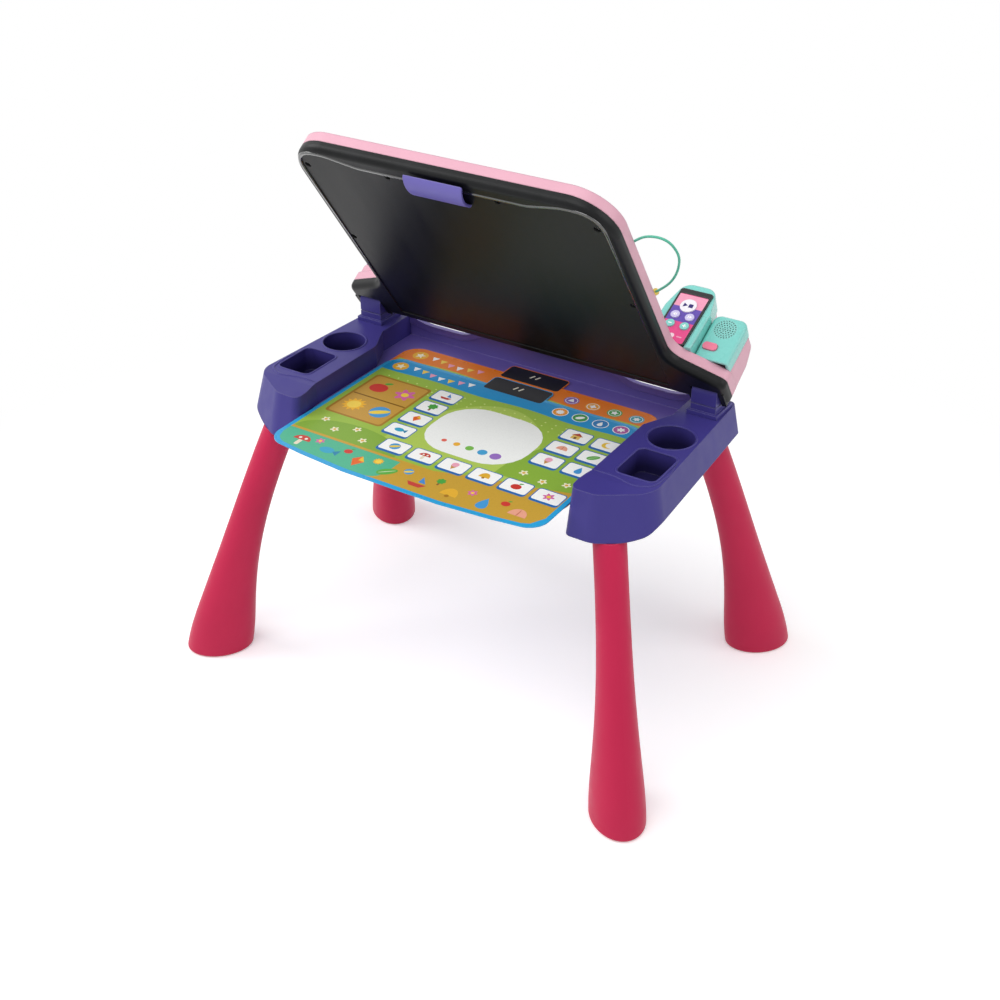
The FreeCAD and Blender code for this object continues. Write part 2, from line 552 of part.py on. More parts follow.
group("leg_screws", both_sides([
    screw(f"leg_screw_{i}", "leg_screw_head_radius", "screw_head", "leg_screw_radius",
          "leg_screw_grip + socket_roof", (x, y, f"{rise} + tenon_length + fit + socket_roof"), True)
    for i, (x, y, rise) in enumerate(LEG_PLACES)]))
PLATE_SLOPE = "(rear_bottom - sweep_bottom) / (caddy_rear + overrun + sweep_end)"
group("caddy_base_screws", both_sides([
    screw(f"base_screw_{i}", "screw_head_radius", "screw_head", "screw_radius", "screw_grip",
          (x, y, f"sweep_bottom + {PLATE_SLOPE} * ({y} + sweep_end) - pin_fit"), False)
    for i, (x, y) in enumerate(BASE_BOSSES)]))
group("post_screws", both_sides([
    screw(f"post_screw_{i}", "screw_head_radius", "screw_head", "screw_radius", "screw_grip",
          (x, y, "arm_top - caddy_wall"), False) for i, (x, y) in enumerate(POST_SCREWS)]))
group("tray_screws", both_sides([
    screw(f"tray_screw_{i}", "screw_head_radius", "floor_thick / 2", "screw_radius",
          "ledge_thick + floor_thick / 2", (x, y, "floor_top - floor_thick / 2"), True)
    for i, (x, y) in enumerate(TRAY_SCREWS)]))


# Page tray: a floor between the caddies and a back beam with a wavy top edge.

FLOOR_EDGE = "caddy_inner_x - fit"
FLOOR_REAR_EDGE = "caddy_inner_rear_x - fit"
FLOOR_REAR = "caddy_rear - beam_depth / 2"
tray_floor = pad("tray_floor", "XY", mirrored_corners([
    ("nose_x - fit", "-floor_front", 0, 0, "floor_round"),
    ("nose_x - fit", "-nose_front", 0, 0, None),
    (FLOOR_EDGE, "-nose_back", 0, 0, None),
    (FLOOR_EDGE, "facet_front", 0, 0, None),
    (FLOOR_REAR_EDGE, "facet_rear", 0, 0, None),
    (FLOOR_REAR_EDGE, FLOOR_REAR, 0, 0, None),
]), "floor_top - floor_thick", "floor_thick")


# Points of the beam's top edge from the side to the hump: shares of the half width and of the
# rise from the dip to the hump.
WAVE_SHARES = ((1.0, 0.5), (0.93, 0.22), (0.88, 0.06), (0.83, 0.0), (0.64, 0.0), (0.6, 0.04),
               (0.55, 0.22), (0.46, 0.78), (0.42, 0.94), (0.37, 1.0))


def wavy_wall(name, drop, spare, front, rear):
    """A wall across the back whose top edge dips beside a long central hump."""
    half = [(f"{FLOOR_REAR_EDGE} + {spare}", f"beam_low - {spare}", 0, 0, None),
            (f"{FLOOR_REAR_EDGE} + {spare}", f"dip_top + (hump_top - dip_top) / 2 - ({drop})", 0, 0, None)]
    for across_share, rise_share in WAVE_SHARES[1:]:
        half.append((f"{across_share} * ({FLOOR_REAR_EDGE})",
                     f"dip_top + {rise_share} * (hump_top - dip_top) - ({drop})", 0, 0, None))
    return pad(name, "XZ", mirrored_corners(half), f"-({rear})", f"({rear}) - ({front})")


beam = cut(
    "beam",
    wavy_wall("beam_full", "0", "0", "caddy_rear - beam_depth - beam_lip", "caddy_rear"),
    wavy_wall("beam_rebate", "beam_lip_height", "overrun", "caddy_rear - beam_depth - beam_lip - overrun",
              "caddy_rear - beam_depth"),
)
tray_heads = [rod(f"tray_head_{i}", "screw_head_radius + fit", "floor_thick / 2 + overrun",
                  (f"{sign} * {x}", y, "floor_top - floor_thick / 2"))
              for i, (x, y) in enumerate(TRAY_SCREWS) for sign in (1, -1)]
tray_bores = [rod(f"tray_bore_{i}", "screw_radius + pin_fit", "floor_thick + overrun",
                  (f"{sign} * {x}", y, "floor_top - floor_thick - overrun / 2"))
              for i, (x, y) in enumerate(TRAY_SCREWS) for sign in (1, -1)]
subpart(cut("page_tray", fuse("tray_solid", tray_floor, beam), *tray_heads, *tray_bores), "page_tray")


# Activity pages: laminated cards with a tab, stacked on the tray floor and free to slide out.
# The front edge bows out, by shares of the bow at shares of the half width.

BOW_SHARES = ((0.35, 0.88), (0.7, 0.51))


def page(label, front, low):
    """One card from its front edge back to its tab."""
    rear = f"(page_depth - {front})"
    outline = mirrored_corners([
        *[(f"{across_share} * page_half", f"-{front} - {bow_share} * page_bow", 0, 0, None)
          for across_share, bow_share in BOW_SHARES],
        ("page_half", f"-{front}", 0, 0, "page_round"),
        ("page_half", rear, 0, 0, "page_round"),
        ("tab_half", rear, 0, 0, None),
        ("tab_half", f"{rear} + tab_reach", 0, 0, "tab_round"),
    ])
    return subpart(pad(label, "XY", outline, low, "page_thick"), label)


page("activity_page_rear", "rear_page_front", "floor_top + page_gap")
page("activity_page_front", "front_page_front", "floor_top + 2 * page_gap + page_thick")


# Hinge posts: stand on the caddies and carry the lid on one pin each.

post_column = box("post_column", ("post_width", "post_depth", "hinge_z - arm_top"), ("post_x", "hinge_y"),
                  "arm_top")
post_head = rod("post_head", "post_depth / 2", "post_width",
                ("post_x - post_width / 2", "hinge_y", "hinge_z"), "X")
post_collar = box("post_collar", ("post_width + 2 * collar_rim", "post_depth + 2 * collar_rim",
                                  "collar_height"),
                  ("post_x", "hinge_y"), "arm_top")
post_spigot = box("post_spigot", ("spigot_length", "spigot_width", "spigot_drop + collar_height"),
                  ("post_x", "hinge_y"), "arm_top - spigot_drop")
groove = cut(
    "groove",
    box("groove_ring", ("post_width + overrun", "post_depth + overrun", "groove_height"),
        ("post_x", "hinge_y"), "groove_z"),
    box("groove_core", ("post_width - 2 * groove_depth", "post_depth - 2 * groove_depth", "groove_height"),
        ("post_x", "hinge_y"), "groove_z"),
)
pin_bore = rod("pin_bore", "pin_radius + pin_fit", "post_width + overrun",
               ("post_x - post_width / 2 - overrun / 2", "hinge_y", "hinge_z"), "X")
post_threads = [rod(f"post_thread_{i}", "screw_radius + pin_fit", "screw_grip",
                    (x, y, "arm_top - caddy_wall")) for i, (x, y) in enumerate(POST_SCREWS)]
right_post = subpart(cut(
    "right_hinge_post", fuse("post_solid", post_column, post_head, post_collar, post_spigot),
    groove, pin_bore, *post_threads), "right_hinge_post")
subpart(mirror("left_hinge_post", right_post, V(1, 0, 0)), "left_hinge_post")


# Lid shells, built flat about the hinge axis: y runs forward as negative, z up from the axis.

LID_CORNERS = mirrored_corners([
    ("lid_half", "-lid_reach", -1, 1, "lid_corner_round"),
    ("lid_half", "-wing_root", -1, 0.64, "wing_root_round"),
    ("wing_half", "-wing_front", -1, 0.64, "wing_tip_round"),
    ("wing_half", "lid_rear", -1, -1, "wing_rear_round"),
])


def post_slot(name, side, low, height):
    """The gap in a wing that the hinge post turns in."""
    return box(name, ("post_width + 2 * slot_gap", "slot_depth + lid_rear + overrun", height),
               (f"{side} * post_x", "(lid_rear + overrun - slot_depth) / 2"), low)


def hinge_ribs(name, side, low, height):
    """Walls each side of a slot that hold the hinge pin."""
    inner = box(f"{name}_inner", ("hinge_rib", "2 * hinge_rib_reach", height),
                (f"{side} * (post_x - post_width / 2 - slot_gap - hinge_rib / 2)",
                 "lid_rear - hinge_rib_reach"), low)
    outer = box(f"{name}_outer", ("hinge_rib", "2 * hinge_rib_reach", height),
                (f"{side} * (post_x + post_width / 2 + slot_gap + hinge_rib / 2)",
                 "lid_rear - hinge_rib_reach"), low)
    return [inner, outer]


def pin_holes(name):
    """Bores for both hinge pins."""
    return [rod(f"{name}_{side}", "pin_radius + pin_fit", "pin_outer_x - pin_inner_x", (x, 0, 0), "X")
            for side, x in (("right", "pin_inner_x"), ("left", "-pin_outer_x"))]


LID_SCREWS = [(f"{sign} * {x}", f"-{reach}") for x, reach in (
    ("(lid_half - corner_screw_side)", "(lid_reach - corner_screw_inset)"),
    ("top_screw_x", "(lid_reach - top_screw_inset)"),
    ("(lid_half - side_screw_side)", "(lid_reach / 2)")) for sign in (1, -1)]
INNER_LOW = "(panel_thick - rim_low)"
INNER_HIGH = "(rim_high - deck_thick)"
SEAT_TOP = "(-lid_seat_top)"
HEAD_SEAT = "(-lid_seat_top - lid_bore_depth + panel_thick)"

lid_tub = cut(
    "lid_tub",
    soften("lid_tub_outer", pad("lid_tub_block", "XY", LID_CORNERS, "-rim_low", "rim_low"),
           "tub_edge", on_level(-size("rim_low"))),
    soften("lid_tub_room", pad("lid_tub_space", "XY", LID_CORNERS, INNER_LOW, "rim_low + overrun",
                               "shell_wall"),
           "tub_room_edge", on_level(size("panel_thick") - size("rim_low"))),
)
BOARD_HALF = "lid_half - board_inset"
board_field = pad("board_field", "XY", mirrored_corners([
    ("brow_inner_x", "brow_inset - lid_reach", 0, 0, "brow_round"),
    ("brow_outer_x", "board_inset - lid_reach", 0, 0, "brow_round"),
    (BOARD_HALF, "board_inset - lid_reach", 0, 0, "board_round"),
    (BOARD_HALF, "-board_rear", 0, 0, None),
]), "-rim_low - overrun", "overrun + board_recess")
lid_seats = [rod(f"lid_seat_{i}", "lid_seat_radius", f"{SEAT_TOP} - {INNER_LOW} + panel_thick / 2",
                 (x, y, f"{INNER_LOW} - panel_thick / 2")) for i, (x, y) in enumerate(LID_SCREWS)]
head_bores = [rod(f"head_bore_{i}", "screw_head_radius + fit", f"rim_low + overrun + {HEAD_SEAT}",
                  (x, y, "-rim_low - overrun")) for i, (x, y) in enumerate(LID_SCREWS)]
shank_bores = [rod(f"shank_bore_{i}", "screw_radius + pin_fit", "rim_low + overrun",
                   (x, y, "-rim_low")) for i, (x, y) in enumerate(LID_SCREWS)]
STANDOFFS = [(f"board_x {sx} (board_length / 2 - standoff_inset)",
              f"-board_y {sy} (board_width / 2 - standoff_inset)")
             for sx in "-+" for sy in "-+"]
standoffs = [rod(f"standoff_{i}", "standoff_radius", "standoff_height + panel_thick / 2",
                 (x, y, f"{INNER_LOW} - panel_thick / 2")) for i, (x, y) in enumerate(STANDOFFS)]
PIN_DROP = "(clip_gap + clip_jaw * sin(clip_tilt_deg) + clip_chord * cos(clip_tilt_deg) - board_recess)"
CLIP_Y = "(clip_inset - lid_reach)"
EAR_X = "lug_x - lug_thick / 2 - ear_gap - ear_thick"
ears = []
for side in (1, -1):
    ear_start = EAR_X if side == 1 else f"-({EAR_X}) - ear_thick"
    ears.append(rod(f"ear_round_{side + 1}", "ear_radius", "ear_thick",
                    (ear_start, CLIP_Y, f"-rim_low - {PIN_DROP}"), "X"))
    ears.append(box(f"ear_stem_{side + 1}", ("ear_thick", "2 * ear_radius",
                                             f"{PIN_DROP} + board_recess + panel_thick / 2"),
                    (f"{ear_start} + ear_thick / 2", CLIP_Y), f"-rim_low - {PIN_DROP}"))
ear_bore = rod("ear_bore", "clip_pin_radius", "2 * lug_x", ("-lug_x", CLIP_Y, f"-rim_low - {PIN_DROP}"), "X")
tub_ribs = [rib for name, side in (("tub_rib_right", 1), ("tub_rib_left", -1))
            for rib in hinge_ribs(name, side, "-rim_low", "rim_low")]
tub_ribs = [common(f"{rib.Name}_trim", rib, pad(f"{rib.Name}_limit", "XY", LID_CORNERS, "-rim_low",
                                                "rim_low"))
            for rib in tub_ribs]
tub_slots = [post_slot("tub_slot_right", 1, "-rim_low - overrun", "rim_low + 2 * overrun"),
             post_slot("tub_slot_left", -1, "-rim_low - overrun", "rim_low + 2 * overrun")]
tub_fielded = cut("tub_fielded", lid_tub, board_field)
back_panel = cut(
    "lid_back_panel",
    fuse("tub_solid", tub_fielded, *lid_seats, *standoffs, *tub_ribs, *ears),
    *head_bores, *shank_bores, *tub_slots, *pin_holes("tub_pin"), ear_bore,
)
subpart(on_lid(back_panel), "lid_back_panel")

deck_shell = cut(
    "deck_shell",
    pad("deck_outer", "XY", LID_CORNERS, 0, "rim_high"),
    pad("deck_room", "XY", LID_CORNERS, "-overrun", f"overrun + {INNER_HIGH}", "shell_wall"),
)
BED_LENGTH = "(2 * (lid_half - bed_side))"
BED_DEPTH = "(lid_reach - bed_inset - bed_rear)"
BED_CENTRE = ("0", "-(lid_reach - bed_inset + bed_rear) / 2")
bed = plate("bed", BED_LENGTH, BED_DEPTH, "bed_round", BED_CENTRE, "rim_high - bed_depth",
            "bed_depth + overrun")
deck_bosses = [rod(f"deck_boss_{i}", "lid_boss_radius", f"{INNER_HIGH} - {SEAT_TOP} + deck_thick / 4",
                   (x, y, SEAT_TOP)) for i, (x, y) in enumerate(LID_SCREWS)]
deck_bores = [rod(f"deck_bore_{i}", "screw_radius + pin_fit", "lid_screw_grip",
                  (x, y, HEAD_SEAT)) for i, (x, y) in enumerate(LID_SCREWS)]
deck_ribs = [rib for name, side in (("deck_rib_right", 1), ("deck_rib_left", -1))
             for rib in hinge_ribs(name, side, "0", "rim_high")]
deck_ribs = [common(f"{rib.Name}_trim", rib, pad(f"{rib.Name}_limit", "XY", LID_CORNERS, 0, "rim_high"))
             for rib in deck_ribs]
deck_slots = [post_slot("deck_slot_right", 1, "-overrun", "rim_high + 2 * overrun"),
              post_slot("deck_slot_left", -1, "-overrun", "rim_high + 2 * overrun")]
BATTERY_CENTRE = ("-battery_x", "-battery_y")
CELL_ROOM_LENGTH = "(cell_length + cell_cap + 2 * battery_room)"
CELL_ROOM_WIDTH = "(3 * cell_pitch)"
door_hole = box("door_hole", (f"{CELL_ROOM_LENGTH} + 2 * door_rim + door_tab",
                              f"{CELL_ROOM_WIDTH} + 2 * door_rim", "deck_thick + overrun"),
                ("-battery_x - door_tab / 2", "-battery_y"), INNER_HIGH)
knob_hole = rod("knob_hole", "shaft_radius + fit", "deck_thick + overrun",
                ("-knob_x", "-knob_y", f"{INNER_HIGH} - overrun / 2"))
deck = cut(
    "lid_top_shell",
    fuse("deck_solid", deck_shell, *deck_bosses, *deck_ribs),
    bed, *deck_bores, *deck_slots, *pin_holes("deck_pin"), door_hole, knob_hole,
)
subpart(on_lid(deck), "lid_top_shell")

lid_screws = [screw(f"lid_screw_{i}", "screw_head_radius", "screw_head", "screw_radius", "lid_screw_grip",
                    (x, y, HEAD_SEAT), False) for i, (x, y) in enumerate(LID_SCREWS)]
on_lid(group("lid_screws", lid_screws))
for side, x in (("right", "pin_inner_x"), ("left", "-pin_outer_x")):
    bar = rod(f"{side}_pin_bar", "pin_radius", "pin_outer_x - pin_inner_x", (x, 0, 0), "X")
    pin = doc.addObject("Part::Compound", f"{side}_hinge_pin")
    pin.Links = [bar]
    subpart(on_lid(pin), f"{side}_hinge_pin")


# Desk top of the lid: a touch panel in a shallow bed and a reader that takes a page's tab.

PANEL_LOW = "(rim_high - bed_depth)"
subpart(on_lid(plate("touch_panel", f"{BED_LENGTH} - 2 * fit", f"{BED_DEPTH} - 2 * fit", "bed_round",
                     BED_CENTRE, PANEL_LOW, "touch_thick")), "touch_panel")
READER_Y = "(reader_depth / 2 - bed_rear)"
reader_block = plate("reader_block", "2 * reader_half", "reader_depth", "reader_round", ("0", READER_Y),
                     "rim_high", "reader_height")
reader_slot = box("reader_slot", ("2 * reader_slot_half", "reader_slot_depth + overrun",
                                  "reader_slot_height"),
                  ("0", "(reader_slot_depth - overrun) / 2 - bed_rear"), "rim_high")
subpart(on_lid(cut("page_reader", reader_block, reader_slot)), "page_reader")


# Electronics inside the lid: circuit board, battery box with three cells, and its door.

BOARD_LOW = f"({INNER_LOW} + standoff_height)"
board = fuse(
    "main_board",
    box("board_sheet", ("board_length", "board_width", "board_thick"), ("board_x", "-board_y"), BOARD_LOW),
    box("board_chip", ("chip_size", "chip_size", "board_thick + chip_height"), ("board_x", "-board_y"),
        BOARD_LOW),
)
subpart(on_lid(board), "main_board")

DOOR_LENGTH = f"({CELL_ROOM_LENGTH} + 2 * door_rim + door_tab)"
DOOR_WIDTH = f"({CELL_ROOM_WIDTH} + 2 * door_rim)"
DOOR_CENTRE = ("-battery_x - door_tab / 2", "-battery_y")
DOOR_LOW = "(rim_high - door_thick)"
DOOR_SCREW_X = f"(-battery_x - {CELL_ROOM_LENGTH} / 2 - battery_wall / 2 - door_boss_radius)"
battery_tub = cut(
    "battery_tub",
    box("battery_outer", (f"{CELL_ROOM_LENGTH} + 2 * battery_wall", f"{CELL_ROOM_WIDTH} + 2 * battery_wall",
                          f"{INNER_HIGH} - {INNER_LOW} - fit"), BATTERY_CENTRE, INNER_LOW),
    box("battery_room_cut", (CELL_ROOM_LENGTH, CELL_ROOM_WIDTH, "rim_high + rim_low"), BATTERY_CENTRE,
        f"{INNER_LOW} + battery_wall"),
)
door_boss = rod("door_boss", "door_boss_radius", f"{DOOR_LOW} - {INNER_LOW}",
                (DOOR_SCREW_X, "-battery_y", INNER_LOW))
boss_bore = rod("door_boss_bore", "screw_radius + pin_fit", "screw_grip + fit",
                (DOOR_SCREW_X, "-battery_y", f"{DOOR_LOW} - screw_grip"))
subpart(on_lid(cut("battery_box", fuse("battery_solid", battery_tub, door_boss), boss_bore)), "battery_box")

CELL_AXIS = f"({INNER_LOW} + battery_wall + fit + cell_radius)"
cells = []
for i in (-1, 0, 1):
    cell_y = f"{i} * cell_pitch - battery_y"
    cell_x = "-battery_x - (cell_length + cell_cap) / 2"
    cells.append(fuse(f"cell_{i + 1}", rod(f"cell_can_{i + 1}", "cell_radius", "cell_length",
                                           (cell_x, cell_y, CELL_AXIS), "X"),
                      rod(f"cell_nub_{i + 1}", "cell_cap_radius", "cell_length + cell_cap",
                          (cell_x, cell_y, CELL_AXIS), "X")))
on_lid(group("batteries", cells))

door_plate = box("door_plate", (f"{DOOR_LENGTH} - 2 * fit", f"{DOOR_WIDTH} - 2 * fit", "door_thick"),
                 DOOR_CENTRE, DOOR_LOW)
door_head = rod("door_head", "screw_head_radius + fit", "overrun",
                (DOOR_SCREW_X, "-battery_y", "rim_high - door_thick / 2"))
door_bore = rod("door_bore", "screw_radius + pin_fit", "door_thick + overrun",
                (DOOR_SCREW_X, "-battery_y", f"{DOOR_LOW} - overrun / 2"))
subpart(on_lid(cut("battery_door", door_plate, door_head, door_bore)), "battery_door")
on_lid(group("battery_door_screw", [
    screw("door_screw", "screw_head_radius", "door_thick / 2", "screw_radius", "screw_grip",
          (DOOR_SCREW_X, "-battery_y", "rim_high - door_thick / 2"), True)]))


# Upright pods: built facing front, with y going back from the front face and z up from the
# lid, then leaned back and seated on it.

def upright(name, width, low, high, corner_round, front, depth, x="0"):
    """A slab with rounded corners facing the front."""
    corners = [(f"{x} - ({width}) / 2", low, 0, 0, corner_round),
               (f"{x} + ({width}) / 2", low, 0, 0, corner_round),
               (f"{x} + ({width}) / 2", high, 0, 0, corner_round),
               (f"{x} - ({width}) / 2", high, 0, 0, corner_round)]
    return pad(name, "XZ", corners, f"-({front}) - ({depth})", depth)


def under_lid(name, lean, depth):
    """The space below the lid's top face, seen from a pod that leans on it."""
    reach = f"({depth} + overrun)"
    return pad(name, "YZ", [
        ("-overrun", f"-overrun * tan({lean})", 0, 0, None), (reach, f"{reach} * tan({lean})", 0, 0, None),
        (reach, f"-{reach}", 0, 0, None), ("-overrun", f"-{reach}", 0, 0, None),
    ], f"-2 * {reach}", f"4 * {reach}")


def on_phone(obj):
    """Seats a piece of the play phone."""
    return on_lid(obj, "phone_x", "-phone_y", "rim_high", "phone_lean_deg")


def on_speaker(obj):
    """Seats a piece of the speaker pod."""
    return on_lid(obj, "speaker_x", "-speaker_y", "rim_high", "speaker_lean_deg")


# Play phone: a bezel with a screen, five keys and a membrane, held in a dock with a back cover.

KEYS = (("play_button", "0", "play_z", "play_radius"),
        ("previous_button", "-key_x", "track_key_z", "key_radius"),
        ("next_button", "key_x", "track_key_z", "key_radius"),
        ("volume_down_button", "-key_x", "volume_key_z", "key_radius"),
        ("volume_up_button", "key_x", "volume_key_z", "key_radius"))
SCREEN_WIDTH = "(phone_width - 2 * screen_rim)"
SCREEN_LOW = "(phone_low + screen_low_rim)"
SCREEN_HIGH = "(phone_height - screen_top_rim)"
FLANGE_FRONT = "(phone_thick + fit)"
MEMBRANE_FRONT = f"({FLANGE_FRONT} + key_flange_height + key_travel + fit)"


def key_holes(name, spare, front, depth):
    """Round holes for every key."""
    return [rod(f"{name}_{i}", f"{radius} + {spare}", depth, (x, front, z), "Y")
            for i, (_, x, z, radius) in enumerate(KEYS)]


bezel_slab = upright("bezel_slab", "phone_width", "phone_low", "phone_height", "phone_round", "0",
                     "phone_thick")
screen_pocket = upright("screen_pocket", f"{SCREEN_WIDTH} + 2 * pin_fit", f"{SCREEN_LOW} - pin_fit",
                        f"{SCREEN_HIGH} + pin_fit", "screen_round", "-overrun", "overrun + screen_thick")
bezel = cut("phone_bezel", bezel_slab, screen_pocket, *key_holes("bezel_hole", "fit", "-overrun",
                                                                 "2 * overrun"))
subpart(on_phone(bezel), "phone_bezel")
screen_sheet = upright("screen_sheet", SCREEN_WIDTH, SCREEN_LOW, SCREEN_HIGH, "screen_round", "0",
                       "screen_thick")
subpart(on_phone(cut("phone_screen", screen_sheet, *key_holes("screen_hole", "fit", "-overrun",
                                                              "2 * overrun"))),
        "phone_screen")
for label, x, z, radius in KEYS:
    key = fuse(label, rod(f"{label}_cap", radius, f"key_proud + {FLANGE_FRONT} + key_flange_height / 2",
                          (x, "-key_proud", z), "Y"),
               rod(f"{label}_flange", f"{radius} + key_flange", "key_flange_height", (x, FLANGE_FRONT, z),
                   "Y"))
    subpart(on_phone(key), label)
membrane = upright("keypad_membrane", f"{SCREEN_WIDTH} - 2 * fit", f"{SCREEN_LOW} + fit",
                   f"{SCREEN_HIGH} - fit",
                   "screen_round", MEMBRANE_FRONT, "membrane_thick")
subpart(on_phone(membrane), "keypad_membrane")

DOCK_REAR = "(dock_front + dock_depth)"


def dock_arch(name, front, depth, inset):
    """The dock's front view, square below and arched at the top, as a slab."""
    return pad(name, "XZ", [
        ("-dock_left", "-dock_root", 1, 0, None), ("dock_right", "-dock_root", -1, 0, None),
        ("dock_right", "dock_shoulder", -1, 0, "dock_shoulder_round"),
        ("dock_right - dock_slope", "dock_rise", -0.6, -1, "dock_arch_round"),
        ("-dock_left + dock_slope", "dock_rise", 0.6, -1, "dock_arch_round"),
        ("-dock_left", "dock_shoulder", 1, 0, "dock_shoulder_round"),
    ], f"-({front}) - ({depth})", depth, inset)


bulge = fuse("bulge", rod("bulge_rod", "bulge_radius", "bulge_height + dock_root",
                          ("bulge_x", "bulge_y", "-dock_root")),
             place(bind(doc.addObject("Part::Sphere", "bulge_cap"), Radius="bulge_radius"),
                   "bulge_x", "bulge_y", "bulge_height"))
phone_bed = upright("phone_bed", "phone_width + 2 * fit", "-dock_root", "phone_height + fit", "phone_round",
                    "-overrun", "overrun + phone_thick")
key_room = upright("key_room", SCREEN_WIDTH, SCREEN_LOW, SCREEN_HIGH, "screen_round", "phone_thick",
                   f"{MEMBRANE_FRONT} + membrane_thick - phone_thick")
dock_hollow = dock_arch("dock_hollow", f"{MEMBRANE_FRONT} + membrane_thick + dock_wall",
                        f"{DOCK_REAR} - {MEMBRANE_FRONT} - membrane_thick - dock_wall + overrun", "dock_wall")
dock = cut("phone_dock", fuse("dock_solid", dock_arch("dock_block", "dock_front", "dock_depth", 0), bulge),
           phone_bed, key_room, dock_hollow, under_lid("dock_floor", "phone_lean_deg",
                                                       f"({DOCK_REAR} + dock_back_depth)"))
subpart(on_phone(dock), "phone_dock")
dock_cover = cut(
    "phone_dock_back", dock_arch("dock_cover_block", DOCK_REAR, "dock_back_depth", "dock_back_inset"),
    dock_arch("dock_cover_hollow", f"{DOCK_REAR} - overrun", "dock_back_depth + overrun - dock_wall",
              "dock_back_inset + dock_wall"),
    under_lid("dock_cover_floor", "phone_lean_deg", f"({DOCK_REAR} + dock_back_depth)"))
subpart(on_phone(dock_cover), "phone_dock_back")


# Speaker pod: a rounded housing with a pierced grille, its driver, an oval power button and a
# back cover that reaches over the hinge post.

speaker_block = upright("speaker_block", "speaker_width", "-speaker_root", "speaker_height",
                        "speaker_round", "0",
                        "speaker_depth")


def on_front_face(edge):
    """Picks the edges of a front-facing slab's front outline."""
    return edge.BoundBox.YMax < size("pin_fit")


speaker_soft = soften("speaker_soft", speaker_block, "speaker_edge", on_front_face)
speaker_room = upright("speaker_room", "speaker_width - 2 * speaker_wall", "-speaker_root - overrun",
                       "speaker_height - speaker_wall", "speaker_room_round", "speaker_wall", "speaker_depth")
GRILLE_RINGS = 4
grille = [rod("grille_hole", "hole_radius", "speaker_wall + overrun",
              ("-grille_x", "-overrun / 2", "grille_z"), "Y")]
for ring in range(1, GRILLE_RINGS + 1):
    for i in range(6 * ring):
        turn = 2 * math.pi * i / (6 * ring)
        across_share = round(ring * math.cos(turn), 4)
        up_share = round(ring * math.sin(turn), 4)
        grille.append(rod(f"grille_hole_{ring}_{i}", "hole_radius", "speaker_wall + overrun",
                          (f"{across_share} * hole_ring - grille_x", "-overrun / 2",
                           f"{up_share} * hole_ring + grille_z"), "Y"))


def switch_slab(name, grow, front, depth):
    """The power button's oval outline, grown all round, as a slab."""
    return upright(name, f"switch_length + 2 * ({grow})", f"switch_z - switch_width / 2 - ({grow})",
                   f"switch_z + switch_width / 2 + ({grow})", "switch_round", front, depth, "-switch_x")


housing = cut("speaker_housing", speaker_soft, speaker_room, *grille,
              switch_slab("switch_hole", "fit", "-overrun", "2 * overrun"),
              under_lid("speaker_floor", "speaker_lean_deg", "speaker_depth"))
subpart(on_speaker(housing), "speaker_housing")
SWITCH_FLANGE_FRONT = "(speaker_wall + fit)"
power = fuse("power_button",
             switch_slab("switch_cap", "0", "-switch_proud",
                         f"switch_proud + {SWITCH_FLANGE_FRONT} + switch_flange_height / 2"),
             switch_slab("switch_flange_plate", "switch_flange", SWITCH_FLANGE_FRONT, "switch_flange_height"))
subpart(on_speaker(power), "power_button")
driver = fuse("speaker_driver",
              rod("driver_rim", "driver_radius", "driver_flange", ("-grille_x", "speaker_wall", "grille_z"),
                  "Y"),
              rod("driver_magnet", "driver_magnet_radius", "driver_depth",
                  ("-grille_x", "speaker_wall", "grille_z"), "Y"))
subpart(on_speaker(driver), "speaker_driver")


def pod_cover(name, start, width, inset, low):
    """The back cover's side view: against the leaning speaker, sloping down to the lid's rear."""
    foot = "(speaker_depth / cos(speaker_lean_deg) - speaker_y)"
    drop = "(speaker_depth * cos(speaker_lean_deg) + pod_height * sin(speaker_lean_deg) - speaker_y)"
    peak = "(rim_high - speaker_depth * sin(speaker_lean_deg) + pod_height * cos(speaker_lean_deg))"
    return pad(name, "YZ", [
        (foot, low, 1, 0, None), ("pod_rear", low, -1, 0, None),
        ("pod_rear", "rim_high + pod_rear_height", -1, -0.7, "pod_round"),
        ("pod_rear - pod_slope", peak, -0.7, -1, "pod_round"), (drop, peak, 1, -1, None),
    ], start, width, inset)


POD_START = "speaker_x - speaker_width / 2"
pod = cut("speaker_back", pod_cover("pod_block", POD_START, "speaker_width", 0, "rim_high"),
          pod_cover("pod_hollow", f"{POD_START} + pod_wall", "speaker_width - 2 * pod_wall", "pod_wall",
                    "rim_high - overrun"),
          post_slot("pod_slot", 1, 0, "slot_top"))
subpart(on_lid(pod), "speaker_back")


# Left console: covers the left hinge post and carries the menu knob on its shaft.

CONSOLE_CORNERS = [
    ("-console_outer", "-console_waist", 1, 0.6, "console_round"),
    ("-console_bevel_x", "-console_front", 0.6, 1, "console_round"),
    ("-console_inner", "-console_front", -1, 1, "console_round"),
    ("-console_inner", "console_rear", -1, -1, "console_round"),
    ("-console_outer", "console_rear", 1, -1, "console_round"),
]
console_block = pad("console_block", "XY", CONSOLE_CORNERS, "rim_high", "console_height")
console_hollow = pad("console_hollow", "XY", CONSOLE_CORNERS, "rim_high - overrun",
                     "console_height - pod_wall + overrun", "pod_wall")
console_top = "rim_high + console_height"
console_bore = rod("console_bore", "shaft_radius + fit", "console_height + overrun",
                   ("-knob_x", "-knob_y", "rim_high"))
console_soft = soften("console_soft", console_block, "edge_round",
                      on_level(size("rim_high") + size("console_height")))
subpart(on_lid(cut("left_console", console_soft, console_hollow, console_bore,
                   post_slot("console_slot", -1, 0, "slot_top"))), "left_console")
